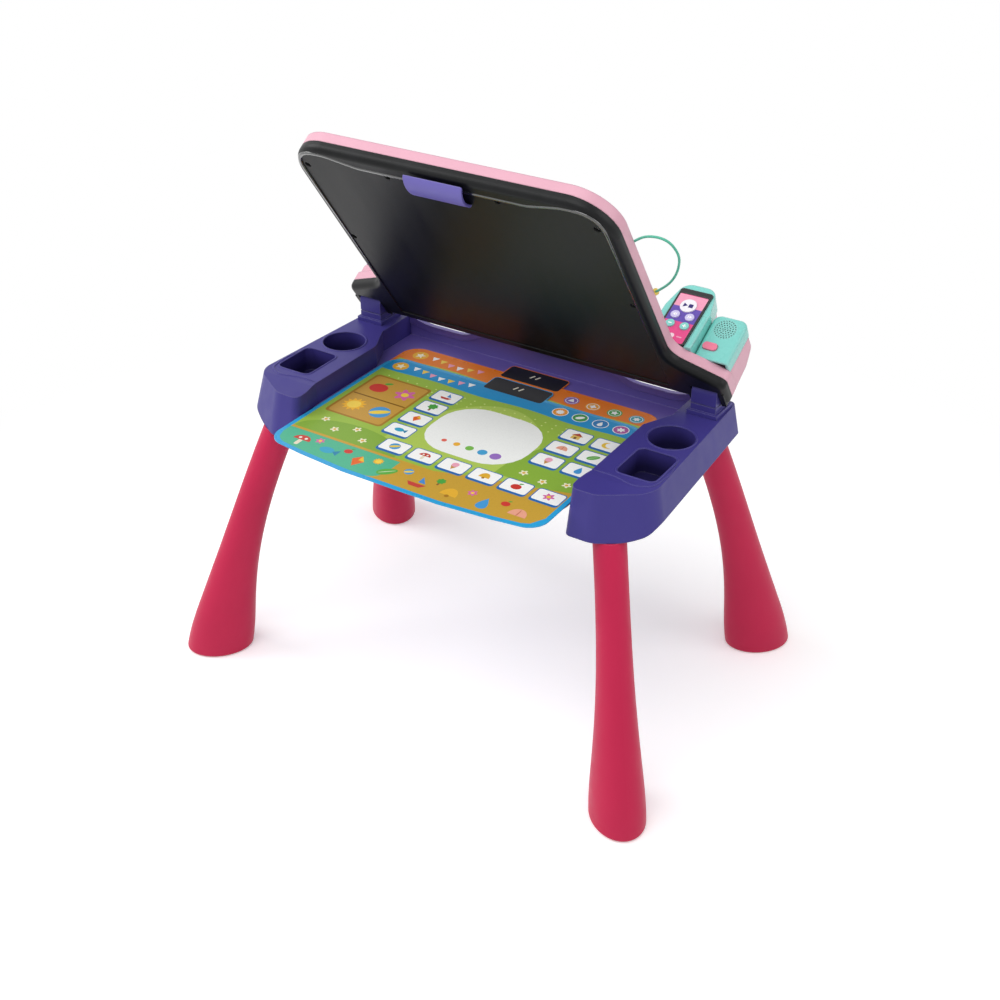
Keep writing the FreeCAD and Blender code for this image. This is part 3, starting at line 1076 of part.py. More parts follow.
encoder = fuse(
    "knob_shaft",
    box("encoder_body", ("encoder_size", "encoder_size", "encoder_height"), ("-knob_x", "-knob_y"),
        f"{INNER_HIGH} - encoder_height"),
    rod("encoder_shaft", "shaft_radius", f"encoder_height / 2 + deck_thick + console_height + shaft_grip",
        ("-knob_x", "-knob_y", f"{INNER_HIGH} - encoder_height / 2")))
subpart(on_lid(encoder), "knob_shaft")
SIDES = 8
octagon = []
for i in range(SIDES):
    turn = 2 * math.pi * (i + 1 / 2) / SIDES
    octagon.append((f"{round(math.cos(turn), 5)} * knob_radius - knob_x",
                    f"{round(math.sin(turn), 5)} * knob_radius - knob_y", 0, 0, "edge_round"))
KNOB_LOW = f"{console_top} + soft_gap"
knob_block = pad("knob_block", "XY", octagon, KNOB_LOW, "knob_height")
knob_soft = soften("knob_soft", knob_block, "knob_edge",
                   on_level(size("rim_high") + size("console_height") + size("soft_gap")
                            + size("knob_height")))
knob_bore = rod("knob_bore", "shaft_radius + pin_fit", "shaft_grip + fit",
                ("-knob_x", "-knob_y", console_top))
subpart(on_lid(cut("menu_knob", knob_soft, knob_bore)), "menu_knob")


# Stylus in its cradle, with the cord that ties it to the gland on the lid's edge.

STYLUS_AXIS = "(rim_high + cradle_floor + soft_gap + stylus_radius)"
GROOVE_RADIUS = "(stylus_radius + soft_gap)"
cradle_block = plate("cradle_block", "cradle_length", "cradle_width", "cradle_round",
                     ("cradle_x", "-stylus_y"),
                     "rim_high", "cradle_height")
cradle_groove = rod("cradle_groove", GROOVE_RADIUS, "cradle_length + overrun",
                    ("cradle_x - cradle_length / 2 - overrun / 2", "-stylus_y", STYLUS_AXIS), "X")
cradle_way = box("cradle_way", ("cradle_length + overrun", f"2 * {GROOVE_RADIUS}", "cradle_height"),
                 ("cradle_x", "-stylus_y"), STYLUS_AXIS)
subpart(on_lid(cut("stylus_cradle", cradle_block, cradle_groove, cradle_way)), "stylus_cradle")

TURNS["-X"] = FreeCAD.Rotation(V(0, 1, 0), -90)
BARREL = "(stylus_length - stylus_grip - stylus_cone - stylus_tip)"
stylus_nose = taper("stylus_nose", "stylus_grip_radius", "stylus_tip_radius", "stylus_cone", (0, 0, 0))
stylus_nose.Placement.Rotation = TURNS["-X"]
place(stylus_nose, f"stylus_tail_x - {BARREL} - stylus_grip", "-stylus_y", STYLUS_AXIS)
stylus = fuse(
    "stylus",
    rod("stylus_barrel", "stylus_radius", BARREL, ("stylus_tail_x", "-stylus_y", STYLUS_AXIS), "-X"),
    rod("stylus_grip_bar", "stylus_grip_radius", f"stylus_length - stylus_cone - stylus_tip",
        ("stylus_tail_x", "-stylus_y", STYLUS_AXIS), "-X"),
    stylus_nose,
    rod("stylus_point", "stylus_tip_radius", "stylus_length", ("stylus_tail_x", "-stylus_y", STYLUS_AXIS),
        "-X"))
subpart(on_lid(stylus), "stylus")

GLAND_AXIS = "(rim_high + gland_radius)"
gland_tube = doc.addObject("Part::Cylinder", "gland_tube")
gland_tube.Placement.Rotation = FreeCAD.Rotation(V(0, 0, 1), -size("gland_turn_deg")).multiply(TURNS["X"])
bind(gland_tube, Radius="gland_radius", Height="gland_length")
GLAND_BACK = ("cord_start_x - gland_length * cos(gland_turn_deg)",
              "gland_length * sin(gland_turn_deg) - cord_start_y")
place(gland_tube, *GLAND_BACK, GLAND_AXIS)
gland_foot = rod("gland_foot", "gland_radius", "gland_radius", (*GLAND_BACK, "rim_high"))
subpart(on_lid(fuse("cord_gland", gland_tube, gland_foot)), "cord_gland")


def cord_path(points):
    """Straight runs joined by tangent arcs, each arc as large as its two runs allow."""
    edges = []
    start = points[0]
    for before, corner, after in zip(points, points[1:], points[2:]):
        into = (corner - before).normalize()
        out = (after - corner).normalize()
        turn = into.getAngle(out)
        reach = CORD_RUN_SHARE * min((corner - before).Length, (after - corner).Length)
        radius = reach / math.tan(turn / 2)
        print(f"cord turn {math.degrees(turn):.0f} deg, radius {radius:.1f} mm")
        first = corner - into * reach
        last = corner + out * reach
        middle = (out - into).normalize()
        top = corner + middle * (radius / math.cos(turn / 2) - radius)
        edges.append(Part.LineSegment(start, first).toShape())
        edges.append(Part.Arc(first, top, last).toShape())
        start = last
    edges.append(Part.LineSegment(start, points[-1]).toShape())
    return Part.Wire(edges)


cord_end_z = size("rim_high") + size("cradle_floor") + size("soft_gap") + size("stylus_radius")
cord_start = V(size("cord_start_x"), -size("cord_start_y"), size("rim_high") + size("gland_radius"))
cord_end = V(size("stylus_tail_x"), -size("stylus_y"), cord_end_z)
cord_wire = cord_path([cord_start] + [V(*point) for point in CORD_ROUTE] + [cord_end])
cord_ring = Part.Wire([Part.makeCircle(size("cord_radius"), cord_start, V(*CORD_ROUTE[0]) - cord_start)])
cord = doc.addObject("Part::Feature", "stylus_cord")
cord.Shape = cord_wire.makePipeShell([cord_ring], True, False)
section = math.pi * size("cord_radius") ** 2
filled = cord.Shape.Volume / (section * cord_wire.Length)
print(f"cord length {cord_wire.Length:.1f} mm, volume share {filled:.4f}")
subpart(on_lid(cord), "stylus_cord")


# Paper clip: an arched plate on a pin across two ears of the chalkboard, with a coil spring.
# It is built about its pin.

ARCH_RADIUS = "((clip_jaw + clip_tail)^2 / (8 * clip_arch) + clip_arch / 2)"
ARCH_Z = f"(clip_chord - clip_arch + {ARCH_RADIUS})"
ARCH_Y = "((clip_jaw - clip_tail) / 2)"
arch_band = cut(
    "arch_band",
    rod("arch_outer", ARCH_RADIUS, "4 * clip_tail_half", ("-2 * clip_tail_half", ARCH_Y, ARCH_Z), "X"),
    rod("arch_inner", f"{ARCH_RADIUS} - clip_thick", "4 * clip_tail_half",
        ("-2 * clip_tail_half", ARCH_Y, ARCH_Z), "X"))
clip_plan = pad("clip_plan", "XY", mirrored_corners([
    ("clip_tail_half", "-clip_tail", 0, 0, "clip_tail_round"),
    ("clip_jaw_half", "clip_jaw", 0, 0, "clip_jaw_round"),
]), "clip_chord - 2 * clip_arch", "2 * clip_arch")
LUG_DROP = "(clip_arch - clip_chord - clip_thick / 2)"
lugs = []
for i, sign in enumerate((1, -1)):
    lugs.append(rod(f"lug_{i}", "lug_radius", "lug_thick", (f"{sign} * lug_x - lug_thick / 2", 0, 0), "X"))
    lugs.append(box(f"lug_stem_{i}", ("lug_thick", "2 * lug_radius", LUG_DROP), (f"{sign} * lug_x", "0"),
                    f"-{LUG_DROP}"))
lug_bore = rod("lug_bore", "clip_pin_radius + pin_fit", "4 * lug_x", ("-2 * lug_x", 0, 0), "X")
clip = cut("paper_clip", fuse("clip_solid", common("clip_arch_plate", arch_band, clip_plan), *lugs), lug_bore)
CLIP_PIN_Z = f"-rim_low - {PIN_DROP}"
subpart(on_lid(clip, 0, CLIP_Y, CLIP_PIN_Z, "(-clip_tilt_deg)"), "paper_clip")
PIN_HALF = "(lug_x + lug_thick / 2)"
pin_bar = rod("clip_pin_bar", "clip_pin_radius", f"2 * {PIN_HALF}", (f"-{PIN_HALF}", 0, 0), "X")
pin_group = doc.addObject("Part::Compound", "clip_pin")
pin_group.Links = [pin_bar]
subpart(on_lid(pin_group, 0, CLIP_Y, CLIP_PIN_Z), "clip_pin")
coil = cut("clip_spring", rod("coil_outer", "coil_radius", "2 * coil_half", ("-coil_half", 0, 0), "X"),
           rod("coil_inner", "coil_radius - coil_wire", "2 * coil_half", ("-coil_half", 0, 0), "X"))
subpart(on_lid(coil, 0, CLIP_Y, CLIP_PIN_Z), "clip_spring")


# Every object and every piece is checked before anything is written.

doc.recompute()
broken = [item.Label for item in doc.Objects if {"Invalid", "Error"} & set(item.State)]
broken += [item.Label for item in SUBPARTS if item.Shape.isNull() or not item.Shape.isValid()]
if broken:
    raise RuntimeError(f"not sound: {broken}")
os.makedirs("parts", exist_ok=True)
for item in SUBPARTS:
    item.Shape.exportStep(f"parts/{item.Label}.step")
print(f"{len(SUBPARTS)} pieces written")
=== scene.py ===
# %% [markdown]
# # A child's activity desk, dressed over its CAD frame
# The desk stands on four splayed legs. Two side caddies hold a page tray between them, and a
# folding lid with a chalkboard underside stands open on two hinge posts. The shapes come from
# the CAD frame, so this lesson is about finishes, print and the few soft lines that CAD lacks:
# the camera and the light, the stylus cord, the moulded plastics, and the printed cards.

# %% Load the frame and keep its size
import math

import bpy
import numpy as np
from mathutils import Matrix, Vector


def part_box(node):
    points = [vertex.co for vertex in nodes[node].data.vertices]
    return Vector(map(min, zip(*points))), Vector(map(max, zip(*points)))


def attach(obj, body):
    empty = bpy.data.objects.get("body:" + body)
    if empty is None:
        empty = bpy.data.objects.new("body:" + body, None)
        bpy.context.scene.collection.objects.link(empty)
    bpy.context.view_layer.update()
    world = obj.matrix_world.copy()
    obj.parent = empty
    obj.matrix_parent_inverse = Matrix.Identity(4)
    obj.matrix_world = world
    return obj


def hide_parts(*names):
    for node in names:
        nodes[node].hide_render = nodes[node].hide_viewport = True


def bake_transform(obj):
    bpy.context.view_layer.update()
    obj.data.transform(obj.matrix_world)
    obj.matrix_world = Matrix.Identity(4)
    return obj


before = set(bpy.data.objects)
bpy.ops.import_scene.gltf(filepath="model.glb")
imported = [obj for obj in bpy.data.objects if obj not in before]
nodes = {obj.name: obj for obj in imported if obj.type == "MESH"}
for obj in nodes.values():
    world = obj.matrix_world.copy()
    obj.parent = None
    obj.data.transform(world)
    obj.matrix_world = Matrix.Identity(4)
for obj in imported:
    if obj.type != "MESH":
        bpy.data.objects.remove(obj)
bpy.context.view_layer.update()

# %% [markdown]
# ## Camera
# A camera can be found by hand, by turning it until the picture looks right, or worked out from
# edges that are known to be square. The second way was used here: the desk's own right angles
# and its symmetry fix the camera, so the numbers below are simply set.

# %% Set the camera
scene = bpy.context.scene
scene.view_settings.view_transform = "Standard"
lens = bpy.data.cameras.new("studio_camera")
lens.sensor_width = 36.0
lens.lens = 50.81
camera = bpy.data.objects.new("studio_camera", lens)
camera.location = (0.7376, -1.1362, 1.0493)
camera.rotation_euler = (math.radians(57.93), 0.0, math.radians(32.44))
scene.collection.objects.link(camera)
scene.camera = camera
print("camera", tuple(round(v, 3) for v in camera.location))

# %% [markdown]
# ## The stylus cord
# A thin vinyl cord ties the stylus to the lid, so that it isn't lost. It leaves a gland at the
# lid's right edge, loops out in the air because it is springy, and comes back over the desk top
# to the stylus's tail. A bevelled curve would be quicker, but the rings are swept here as a mesh.
# The points of the route lie over the closed lid, measured in millimetres from the hinge axis,
# and are turned open with it.

# %% Helpers for swept pieces
LID_OPEN = math.radians(54.5)
HINGE = np.array([0.0, 96.0, 360.6])


def on_lid(points):
    """World metres of lid millimetres: a turn about -X by the opening angle, then the hinge."""
    p = np.asarray(points, float)
    c, s = math.cos(LID_OPEN), math.sin(LID_OPEN)
    turned = np.stack([p[:, 0], p[:, 1] * c + p[:, 2] * s, p[:, 2] * c - p[:, 1] * s], axis=1)
    return (turned + HINGE) / 1000


def turn_of(count):
    """Angles once round, evenly spaced."""
    return np.linspace(0, 2 * np.pi, count, endpoint=False)


def ring_faces(rings, sides, closed):
    """Four-cornered faces between neighbouring rings, with a flat cap at each end of an open run."""
    i, j = np.meshgrid(np.arange(rings if closed else rings - 1), np.arange(sides), indexing="ij")
    k, m = (i + 1) % rings, (j + 1) % sides
    corners = [i * sides + j, k * sides + j, k * sides + m, i * sides + m]
    faces = np.stack(corners, axis=-1).reshape(-1, 4).tolist()
    last = (rings - 1) * sides
    caps = [list(range(sides)), list(range(last + sides - 1, last - 1, -1))]
    return faces if closed else faces + caps


def new_piece(name, points, faces):
    """A mesh object at the origin from an array of points and lists of corner numbers."""
    mesh = bpy.data.meshes.new(name)
    mesh.from_pydata(points.tolist(), [], faces)
    made = bpy.data.objects.new(name, mesh)
    scene.collection.objects.link(made)
    return made


print("a turn in four:", np.round(turn_of(4), 2))

# %% Draw the cord
CORD_ROUTE = [
    (182.5, -149.5, 14.5), (196.5, -163.5, 14.5), (209.5, -182, 15), (219, -203, 15.5),
    (224.5, -225.5, 15.5), (217.5, -246.5, 15.5), (197, -247, 15), (179.5, -233, 14),
    (162.5, -215, 13.5), (148.5, -194.5, 13.5), (140, -171, 13.5), (137, -147, 13.5),
    (138, -123, 13.5), (141, -99.5, 13.5), (138, -77, 14), (131, -56, 15), (120, -39, 16.8),
    (106.5, -30, 18.3), (94, -30, 18.3),
]
CORD_RADIUS = 0.00125
CORD_SIDES = 12
CORD_STEPS = 8


def smooth_path(corners, per_span):
    """A quadratic B-spline: each span blends its start, corner and end by squares of the way along."""
    p = np.asarray(corners, float)
    middle = (p[:-1] + p[1:]) / 2
    middle[0], middle[-1] = p[0], p[-1]
    s = np.linspace(0, 1, per_span, endpoint=False)[None, :, None]
    a, b, c = middle[:-1, None], p[1:-1, None], middle[1:, None]
    return np.vstack([((1 - s) ** 2 * a + 2 * s * (1 - s) * b + s ** 2 * c).reshape(-1, 3), p[-1:]])


def tube(line, radius, sides, up):
    """Rings round a line: line + radius * (side * cosine + rise * sine), with side level to a plane."""
    ahead = np.gradient(line, axis=0)
    ahead /= np.linalg.norm(ahead, axis=1, keepdims=True)
    side = np.cross(ahead, up)
    side /= np.linalg.norm(side, axis=1, keepdims=True)
    rise = np.cross(side, ahead)
    a = turn_of(sides)[None, :, None]
    points = line[:, None] + radius * (side[:, None] * np.cos(a) + rise[:, None] * np.sin(a))
    return points.reshape(-1, 3), ring_faces(len(line), sides, closed=False)


cord_line = smooth_path(on_lid(CORD_ROUTE), CORD_STEPS)
lid_up = np.array([0, math.sin(LID_OPEN), math.cos(LID_OPEN)])
cord = new_piece("stylus_cord_vinyl", *tube(cord_line, CORD_RADIUS, CORD_SIDES, lid_up))
cord.data.shade_smooth()
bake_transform(cord)
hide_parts("stylus_cord")
print("cord:", len(cord_line), "rings")

# %% [markdown]
# ## Floor and light
# The desk was photographed on a white sweep. A real sweep is paper that curves up behind the
# object. A flat disc does the same here: near the desk it is lit paper that takes the shadow,
# and further out it fades into plain white for the eye. The lamps are large and weak, so that a
# colour shows about as it is written.

# %% Colours and nodes


def linear(code):
    """Linear RGBA of an sRGB hex code: the standard curve on each of the three channels."""
    value = np.array([int(code[i:i + 2], 16) for i in (1, 3, 5)]) / 255
    low, high = value / 12.92, ((value + 0.055) / 1.055) ** 2.4
    return (*np.where(value <= 0.04045, low, high).tolist(), 1.0)


def add(tree, kind, inputs=None, **settings):
    """Adds a node, sets its properties, then fills or links its inputs by name or number."""
    node = tree.nodes.new(kind)
    for key, value in settings.items():
        setattr(node, key, value)
    for key, value in (inputs or {}).items():
        if isinstance(value, bpy.types.NodeSocket):
            tree.links.new(value, node.inputs[key])
        else:
            node.inputs[key].default_value = value
    return node


def blank(name):
    """A material with nothing in its tree but the object's own coordinates."""
    made = bpy.data.materials.new(name)
    made.use_nodes = True
    made.node_tree.nodes.clear()
    place = add(made.node_tree, "ShaderNodeTexCoord").outputs["Object"]
    return made, made.node_tree, place


WHITE = linear("#FFFFFF")
BLACK = linear("#000000")
print("white is", WHITE, "and black is", BLACK)

# %% Steps that most finishes share


def maths(tree, operation, *terms):
    """One step of arithmetic on numbers."""
    return add(tree, "ShaderNodeMath", dict(enumerate(terms)), operation=operation).outputs[0]


def vectors(tree, operation, *terms):
    """One step of arithmetic on vectors. The caller takes the node's vector or its value."""
    return add(tree, "ShaderNodeVectorMath", dict(enumerate(terms)), operation=operation).outputs


def noise(tree, place, size_mm, detail):
    """Noise from 0 to 1, in patches about so many millimetres across."""
    inputs = {"Vector": place, "Scale": 1000 / size_mm, "Detail": detail}
    return add(tree, "ShaderNodeTexNoise", inputs).outputs["Fac"]


def ramp(tree, value, low, high, start=0.0, end=1.0, **settings):
    """A value that runs from start to end, stretched to run from low to high and held there."""
    inputs = {"Value": value, "From Min": start, "From Max": end, "To Min": low, "To Max": high}
    return add(tree, "ShaderNodeMapRange", inputs, **settings).outputs[0]


def mixed(tree, share, first, second):
    """Two colours mixed: the first at share 0, the second at share 1."""
    inputs = {"Factor": share, 6: first, 7: second}
    return add(tree, "ShaderNodeMix", inputs, data_type="RGBA").outputs[2]


def skin(tree, inputs):
    """A surface with these inputs, joined to the material's output."""
    surface = add(tree, "ShaderNodeBsdfPrincipled", inputs)
    add(tree, "ShaderNodeOutputMaterial", {"Surface": surface.outputs[0]})


def seen_rays(tree):
    """1 for a ray from the eye, also by a mirror or through glass, and 0 for a ray that lights."""
    ray = add(tree, "ShaderNodeLightPath").outputs
    direct = maths(tree, "MAXIMUM", ray["Is Camera Ray"], ray["Is Glossy Ray"])
    return maths(tree, "MAXIMUM", direct, ray["Is Transmission Ray"])


print("helpers ready")

# %% Paper floor
FLOOR_RADIUS = 9.0
FLOOR_SIDES = 96
FLOOR_LEVEL = -0.0002
FADE_FROM, FADE_TO = 0.42, 0.95
FIBRE_MM = 2.5
PAPER_LIFT = 0.28

paper, tree, place = blank("matt_paper_sweep")
tone = ramp(tree, noise(tree, place, FIBRE_MM, 3.0), 0.93, 0.97)
far = vectors(tree, "LENGTH", place)["Value"]
fade = ramp(tree, far, 0.0, 1.0, FADE_FROM, FADE_TO, interpolation_type="SMOOTHSTEP")
seen = seen_rays(tree)
share = maths(tree, "MULTIPLY", fade, seen)
lift = maths(tree, "MULTIPLY", seen, PAPER_LIFT)
lit = add(tree, "ShaderNodeBsdfDiffuse", {"Color": tone})
glow = add(tree, "ShaderNodeEmission", {"Color": WHITE, "Strength": lift})
near = add(tree, "ShaderNodeAddShader", {0: lit.outputs[0], 1: glow.outputs[0]})
plain = add(tree, "ShaderNodeEmission", {"Color": WHITE, "Strength": 1.0})
both = add(tree, "ShaderNodeMixShader", {0: share, 1: near.outputs[0], 2: plain.outputs[0]})
add(tree, "ShaderNodeOutputMaterial", {"Surface": both.outputs[0]})

angle = turn_of(FLOOR_SIDES)
level = np.full(FLOOR_SIDES, FLOOR_LEVEL)
rim = np.c_[FLOOR_RADIUS * np.cos(angle), FLOOR_RADIUS * np.sin(angle), level]
floor = new_piece("paper_floor", rim, [list(range(FLOOR_SIDES))])
floor.data.materials.append(paper)
print("floor radius", FLOOR_RADIUS, "m")

# %% Lamps and sky
AIR_LIGHT = 0.42


def lamp(name, place, target, width, power):
    """A square soft lamp at a place, turned so that it looks at a target."""
    data = bpy.data.lights.new(name, "AREA")
    data.size = width
    data.energy = power
    made = bpy.data.objects.new(name, data)
    made.location = place
    facing = np.array(target) - np.array(place)
    tilt = math.atan2(math.hypot(facing[0], facing[1]), -facing[2])
    spin = math.atan2(facing[1], facing[0]) - math.pi / 2
    made.rotation_euler = (tilt, 0, spin)
    scene.collection.objects.link(made)


lamp("window_left", (-2.3, -0.9, 2.0), (0, 0, 0.3), width=1.8, power=38)
lamp("window_right", (2.4, 0.5, 1.7), (0, 0, 0.35), width=1.6, power=15)
lamp("ceiling", (0.1, -1.3, 2.7), (0, 0, 0.2), width=2.2, power=36)
world = bpy.data.worlds.new("studio_air")
world.use_nodes = True
tree = world.node_tree
tree.nodes.clear()
air = add(tree, "ShaderNodeBackground", {"Color": WHITE, "Strength": AIR_LIGHT})
plain = add(tree, "ShaderNodeBackground", {"Color": WHITE, "Strength": 1.0})
sky = add(tree, "ShaderNodeMixShader", {0: seen_rays(tree), 1: air.outputs[0], 2: plain.outputs[0]})
add(tree, "ShaderNodeOutputWorld", {"Surface": sky.outputs[0]})
scene.world = world

# %% [markdown]
# ## Moulded plastic
# Nearly every part is ABS, shot into a steel mould. The eye reads that from four things: a fine
# spark-eroded grain, a broad unevenness where the melt cooled, edges that catch the light, and
# a soft gloss. A flat colour has none of them. A Bevel node rounds the edges for the shading
# alone, and the angle between the rounded and the true normal marks the edges, which are painted
# a little paler, partly as rubbed wear and partly as a painted highlight. The cups and bins of the
# caddies have painted shade: their colour darkens towards their floors, as the shade in a deep well.

# %% Depth in the wells
# Sizes in millimetres, for the right caddy. The left one mirrors it.
CUP_CENTRE = (211, 20)
CUP_LIP, CUP_WALL = 25.6, 25.8
BIN_CENTRE = (215, -42)
BIN_LIP, BIN_WALL = (22.6, 28.6), (23.2, 29.2)
WELL_TOP, WELL_FLOOR = 335.5, 316


def well_depth(tree, place):
    """How deep a point lies in a cup or a bin: 0 at the rim, 1 at the floor, 0 outside both."""
    axis = add(tree, "ShaderNodeSeparateXYZ", {0: place}).outputs
    side = maths(tree, "ABSOLUTE", axis["X"])
    flat = add(tree, "ShaderNodeCombineXYZ", {"X": side, "Y": axis["Y"]}).outputs[0]
    cup_x, cup_y = np.array(CUP_CENTRE) / 1000
    bin_x, bin_y = np.array(BIN_CENTRE) / 1000
    half_x, half_y = np.array(BIN_WALL) / 1000
    from_cup = vectors(tree, "DISTANCE", flat, (cup_x, cup_y, 0))["Value"]
    in_cup = maths(tree, "LESS_THAN", from_cup, CUP_WALL / 1000)
    from_bin = vectors(tree, "SUBTRACT", flat, (bin_x, bin_y, 0))[0]
    share = vectors(tree, "DIVIDE", from_bin, (half_x, half_y, 1))[0]
    share = vectors(tree, "ABSOLUTE", share)[0]
    part = add(tree, "ShaderNodeSeparateXYZ", {0: share}).outputs
    in_bin = maths(tree, "LESS_THAN", maths(tree, "MAXIMUM", part["X"], part["Y"]), 1.0)
    down = ramp(tree, axis["Z"], 0.0, 1.0, WELL_TOP / 1000, WELL_FLOOR / 1000)
    return maths(tree, "MULTIPLY", maths(tree, "MAXIMUM", in_cup, in_bin), down)


print("wells from", WELL_TOP, "down to", WELL_FLOOR, "mm")

# %% ABS finish
CLOUD_MM = 70
CLOUD_DARK, CLOUD_PALE = 0.93, 1.07
WEAR_MM = 18
RUBBED_AND_HIGHLIT = (0.9, 0.88, 0.92, 1)


def moulded_abs(name, colour, rough, grain_mm, grain=0.12, edge_mm=1.2, rub_and_highlight=0.10, coat=0.0, shine=0.32,
                painted_well_shade=0.0):
    """ABS from a mould. Real grain is about 0.1 mm, drawn coarser here so that it shows."""
    made, tree, place = blank(name)
    grit = noise(tree, place, grain_mm, 2.0)
    round_edge = add(tree, "ShaderNodeBevel", {"Radius": edge_mm / 1000}, samples=4).outputs[0]
    true_face = add(tree, "ShaderNodeNewGeometry").outputs["Normal"]
    match = vectors(tree, "DOT_PRODUCT", round_edge, true_face)["Value"]
    # The edges are painted paler: partly rubbed wear, partly a painted highlight.
    edge = ramp(tree, match, 0.0, rub_and_highlight, 0.995, 0.85)
    base = np.array(linear(colour))[:3]
    dark, pale = base * CLOUD_DARK, np.minimum(base * CLOUD_PALE, 1)
    tint = mixed(tree, noise(tree, place, CLOUD_MM, 2.0), (*dark, 1), (*pale, 1))
    tint = mixed(tree, edge, tint, RUBBED_AND_HIGHLIT)
    # Painted shade: the colour darkens towards the floor of each cup and bin, standing in for the shade in
    # the wells.
    if painted_well_shade:
        unshaded_share = ramp(tree, well_depth(tree, place), 1.0, 1 - painted_well_shade)
        tint = mixed(tree, unshaded_share, BLACK, tint)
    gloss = ramp(tree, noise(tree, place, WEAR_MM, 4.0), rough - 0.05, rough + 0.06, 0.3, 0.7)
    bump = add(tree, "ShaderNodeBump", {"Strength": grain, "Distance": 0.0003, "Height": grit,
                                        "Normal": round_edge})
    skin(tree, {"Base Color": tint, "Roughness": gloss, "IOR": 1.52, "Specular IOR Level": shine,
                "Coat Weight": coat, "Coat Roughness": 0.12, "Normal": bump.outputs[0]})
    return made


# After the name and colour: roughness, grain size in mm, grain depth, edge round in mm, edge rub and
# painted highlight.
finishes = {
    "raspberry": moulded_abs("raspberry_abs_moulded", "#C4244D", 0.42, 1.4, shine=0.2),
    "purple": moulded_abs("purple_abs_moulded", "#403985", 0.40, 1.4, shine=0.25),
    # The caddies carry painted shade in their cups and bins.
    "purple_painted_well_shade": moulded_abs("purple_abs_moulded_painted_well_shade", "#403985", 0.40, 1.4, shine=0.25, painted_well_shade=0.7),
    # The page tray takes a lighter copy of the caddies' purple: painted sheen for the gloss on the tray
    # floor, and painted light that offsets the shade under the lid.
    "tray_purple_painted_sheen": moulded_abs("purple_abs_moulded_painted_sheen", "#675AA8", 0.34, 1.4, shine=0.5),
    "pink": moulded_abs("pale_pink_abs_moulded", "#E2ABBC", 0.36, 1.6, 0.08, 2.6, 0.05),
    "mint": moulded_abs("mint_abs_gloss_moulded", "#80D3CA", 0.26, 1.8, 0.05, 2.2, 0.24, coat=0.35),
    "violet": moulded_abs("violet_abs_moulded", "#7067B8", 0.40, 1.4),
    "lilac": moulded_abs("lilac_abs_moulded", "#C9A3DC", 0.34, 1.6, 0.06, 1.6),
    "pale_lilac": moulded_abs("pale_lilac_abs_moulded", "#CDC6EC", 0.34, 1.6, 0.06),
    "warm_pink": moulded_abs("warm_pink_abs_moulded", "#F2809C", 0.32, 1.6, 0.05),
    "white": moulded_abs("white_abs_moulded", "#F2EFF5", 0.30, 1.6, 0.05, rub_and_highlight=0.0),
    "yellow": moulded_abs("yellow_abs_moulded", "#F0CC58", 0.34, 1.6, 0.06),
    "black_gloss": moulded_abs("black_abs_polished", "#17181B", 0.16, 2.0, 0.02, rub_and_highlight=0.05, coat=0.4),
    "black_lacquer": moulded_abs("black_abs_lacquered", "#141517", 0.12, 2.0, 0.01, rub_and_highlight=0.0, coat=1.0,
                                 shine=1.0),
    "dark_frame": moulded_abs("charcoal_paint_on_steel", "#24272A", 0.48, 1.2, 0.2),
    "cell_wrap": moulded_abs("navy_shrink_wrap", "#39465E", 0.26, 2.5, 0.05, coat=0.3),
    "rubber": moulded_abs("grey_silicone_moulded", "#8C8E93", 0.62, 1.2, 0.15, rub_and_highlight=0.0),
}
print("plastics:", len(finishes))

# %% [markdown]
# ## The chalkboard
# The lid's underside is one black moulding. Its field is textured so that chalk bites, and
# wiping leaves faint upright streaks. A stretched noise gives the streaks, a fine one the tooth.

# %% Chalkboard black
STREAK_WIDE_MM, STREAK_LONG_MM = 22, 160
TOOTH_MM = 1.1

board, tree, place = blank("black_abs_chalkboard")
squeeze = (1000 / STREAK_WIDE_MM, 1000 / STREAK_LONG_MM, 1000 / STREAK_LONG_MM)
stretch = add(tree, "ShaderNodeMapping", {"Vector": place, "Scale": squeeze}).outputs[0]
streak = add(tree, "ShaderNodeTexNoise", {"Vector": stretch, "Scale": 1.0, "Detail": 5.0,
                                          "Distortion": 0.4}).outputs["Fac"]
dust = ramp(tree, streak, 0.0, 1.0, 0.42, 0.8)
round_edge = add(tree, "ShaderNodeBevel", {"Radius": 0.0016}, samples=6).outputs[0]
bump = add(tree, "ShaderNodeBump", {"Strength": 0.10, "Distance": 0.0003, "Normal": round_edge,
                                    "Height": noise(tree, place, TOOTH_MM, 3.0)})
skin(tree, {"Base Color": mixed(tree, dust, linear("#101112"), linear("#191A1C")),
            "Roughness": ramp(tree, streak, 0.30, 0.46), "IOR": 1.5, "Specular IOR Level": 0.2,
            "Normal": bump.outputs[0]})
finishes["board"] = board
print(board.name)

# %% [markdown]
# ## Zinc, vinyl, circuit board and touch panel
# The screws are zinc-plated steel, finely mottled by the plating. The cord is extruded vinyl,
# whose tint drifts a little along it. The circuit board is green glass fibre with copper tracks
# under its resist. The touch panel is printed film over a grid of contacts, which shows as a
# faint ruling.

# %% Screws and cord
ZINC_MM = 0.8
VINYL_MM = 9

zinc, tree, place = blank("zinc_plated_steel_turned")
mark = noise(tree, place, ZINC_MM, 3.0)
skin(tree, {"Base Color": mixed(tree, mark, linear("#B4B6B8"), linear("#D3D3CF")), "Metallic": 1.0,
            "Roughness": ramp(tree, mark, 0.25, 0.45)})
finishes["zinc"] = zinc

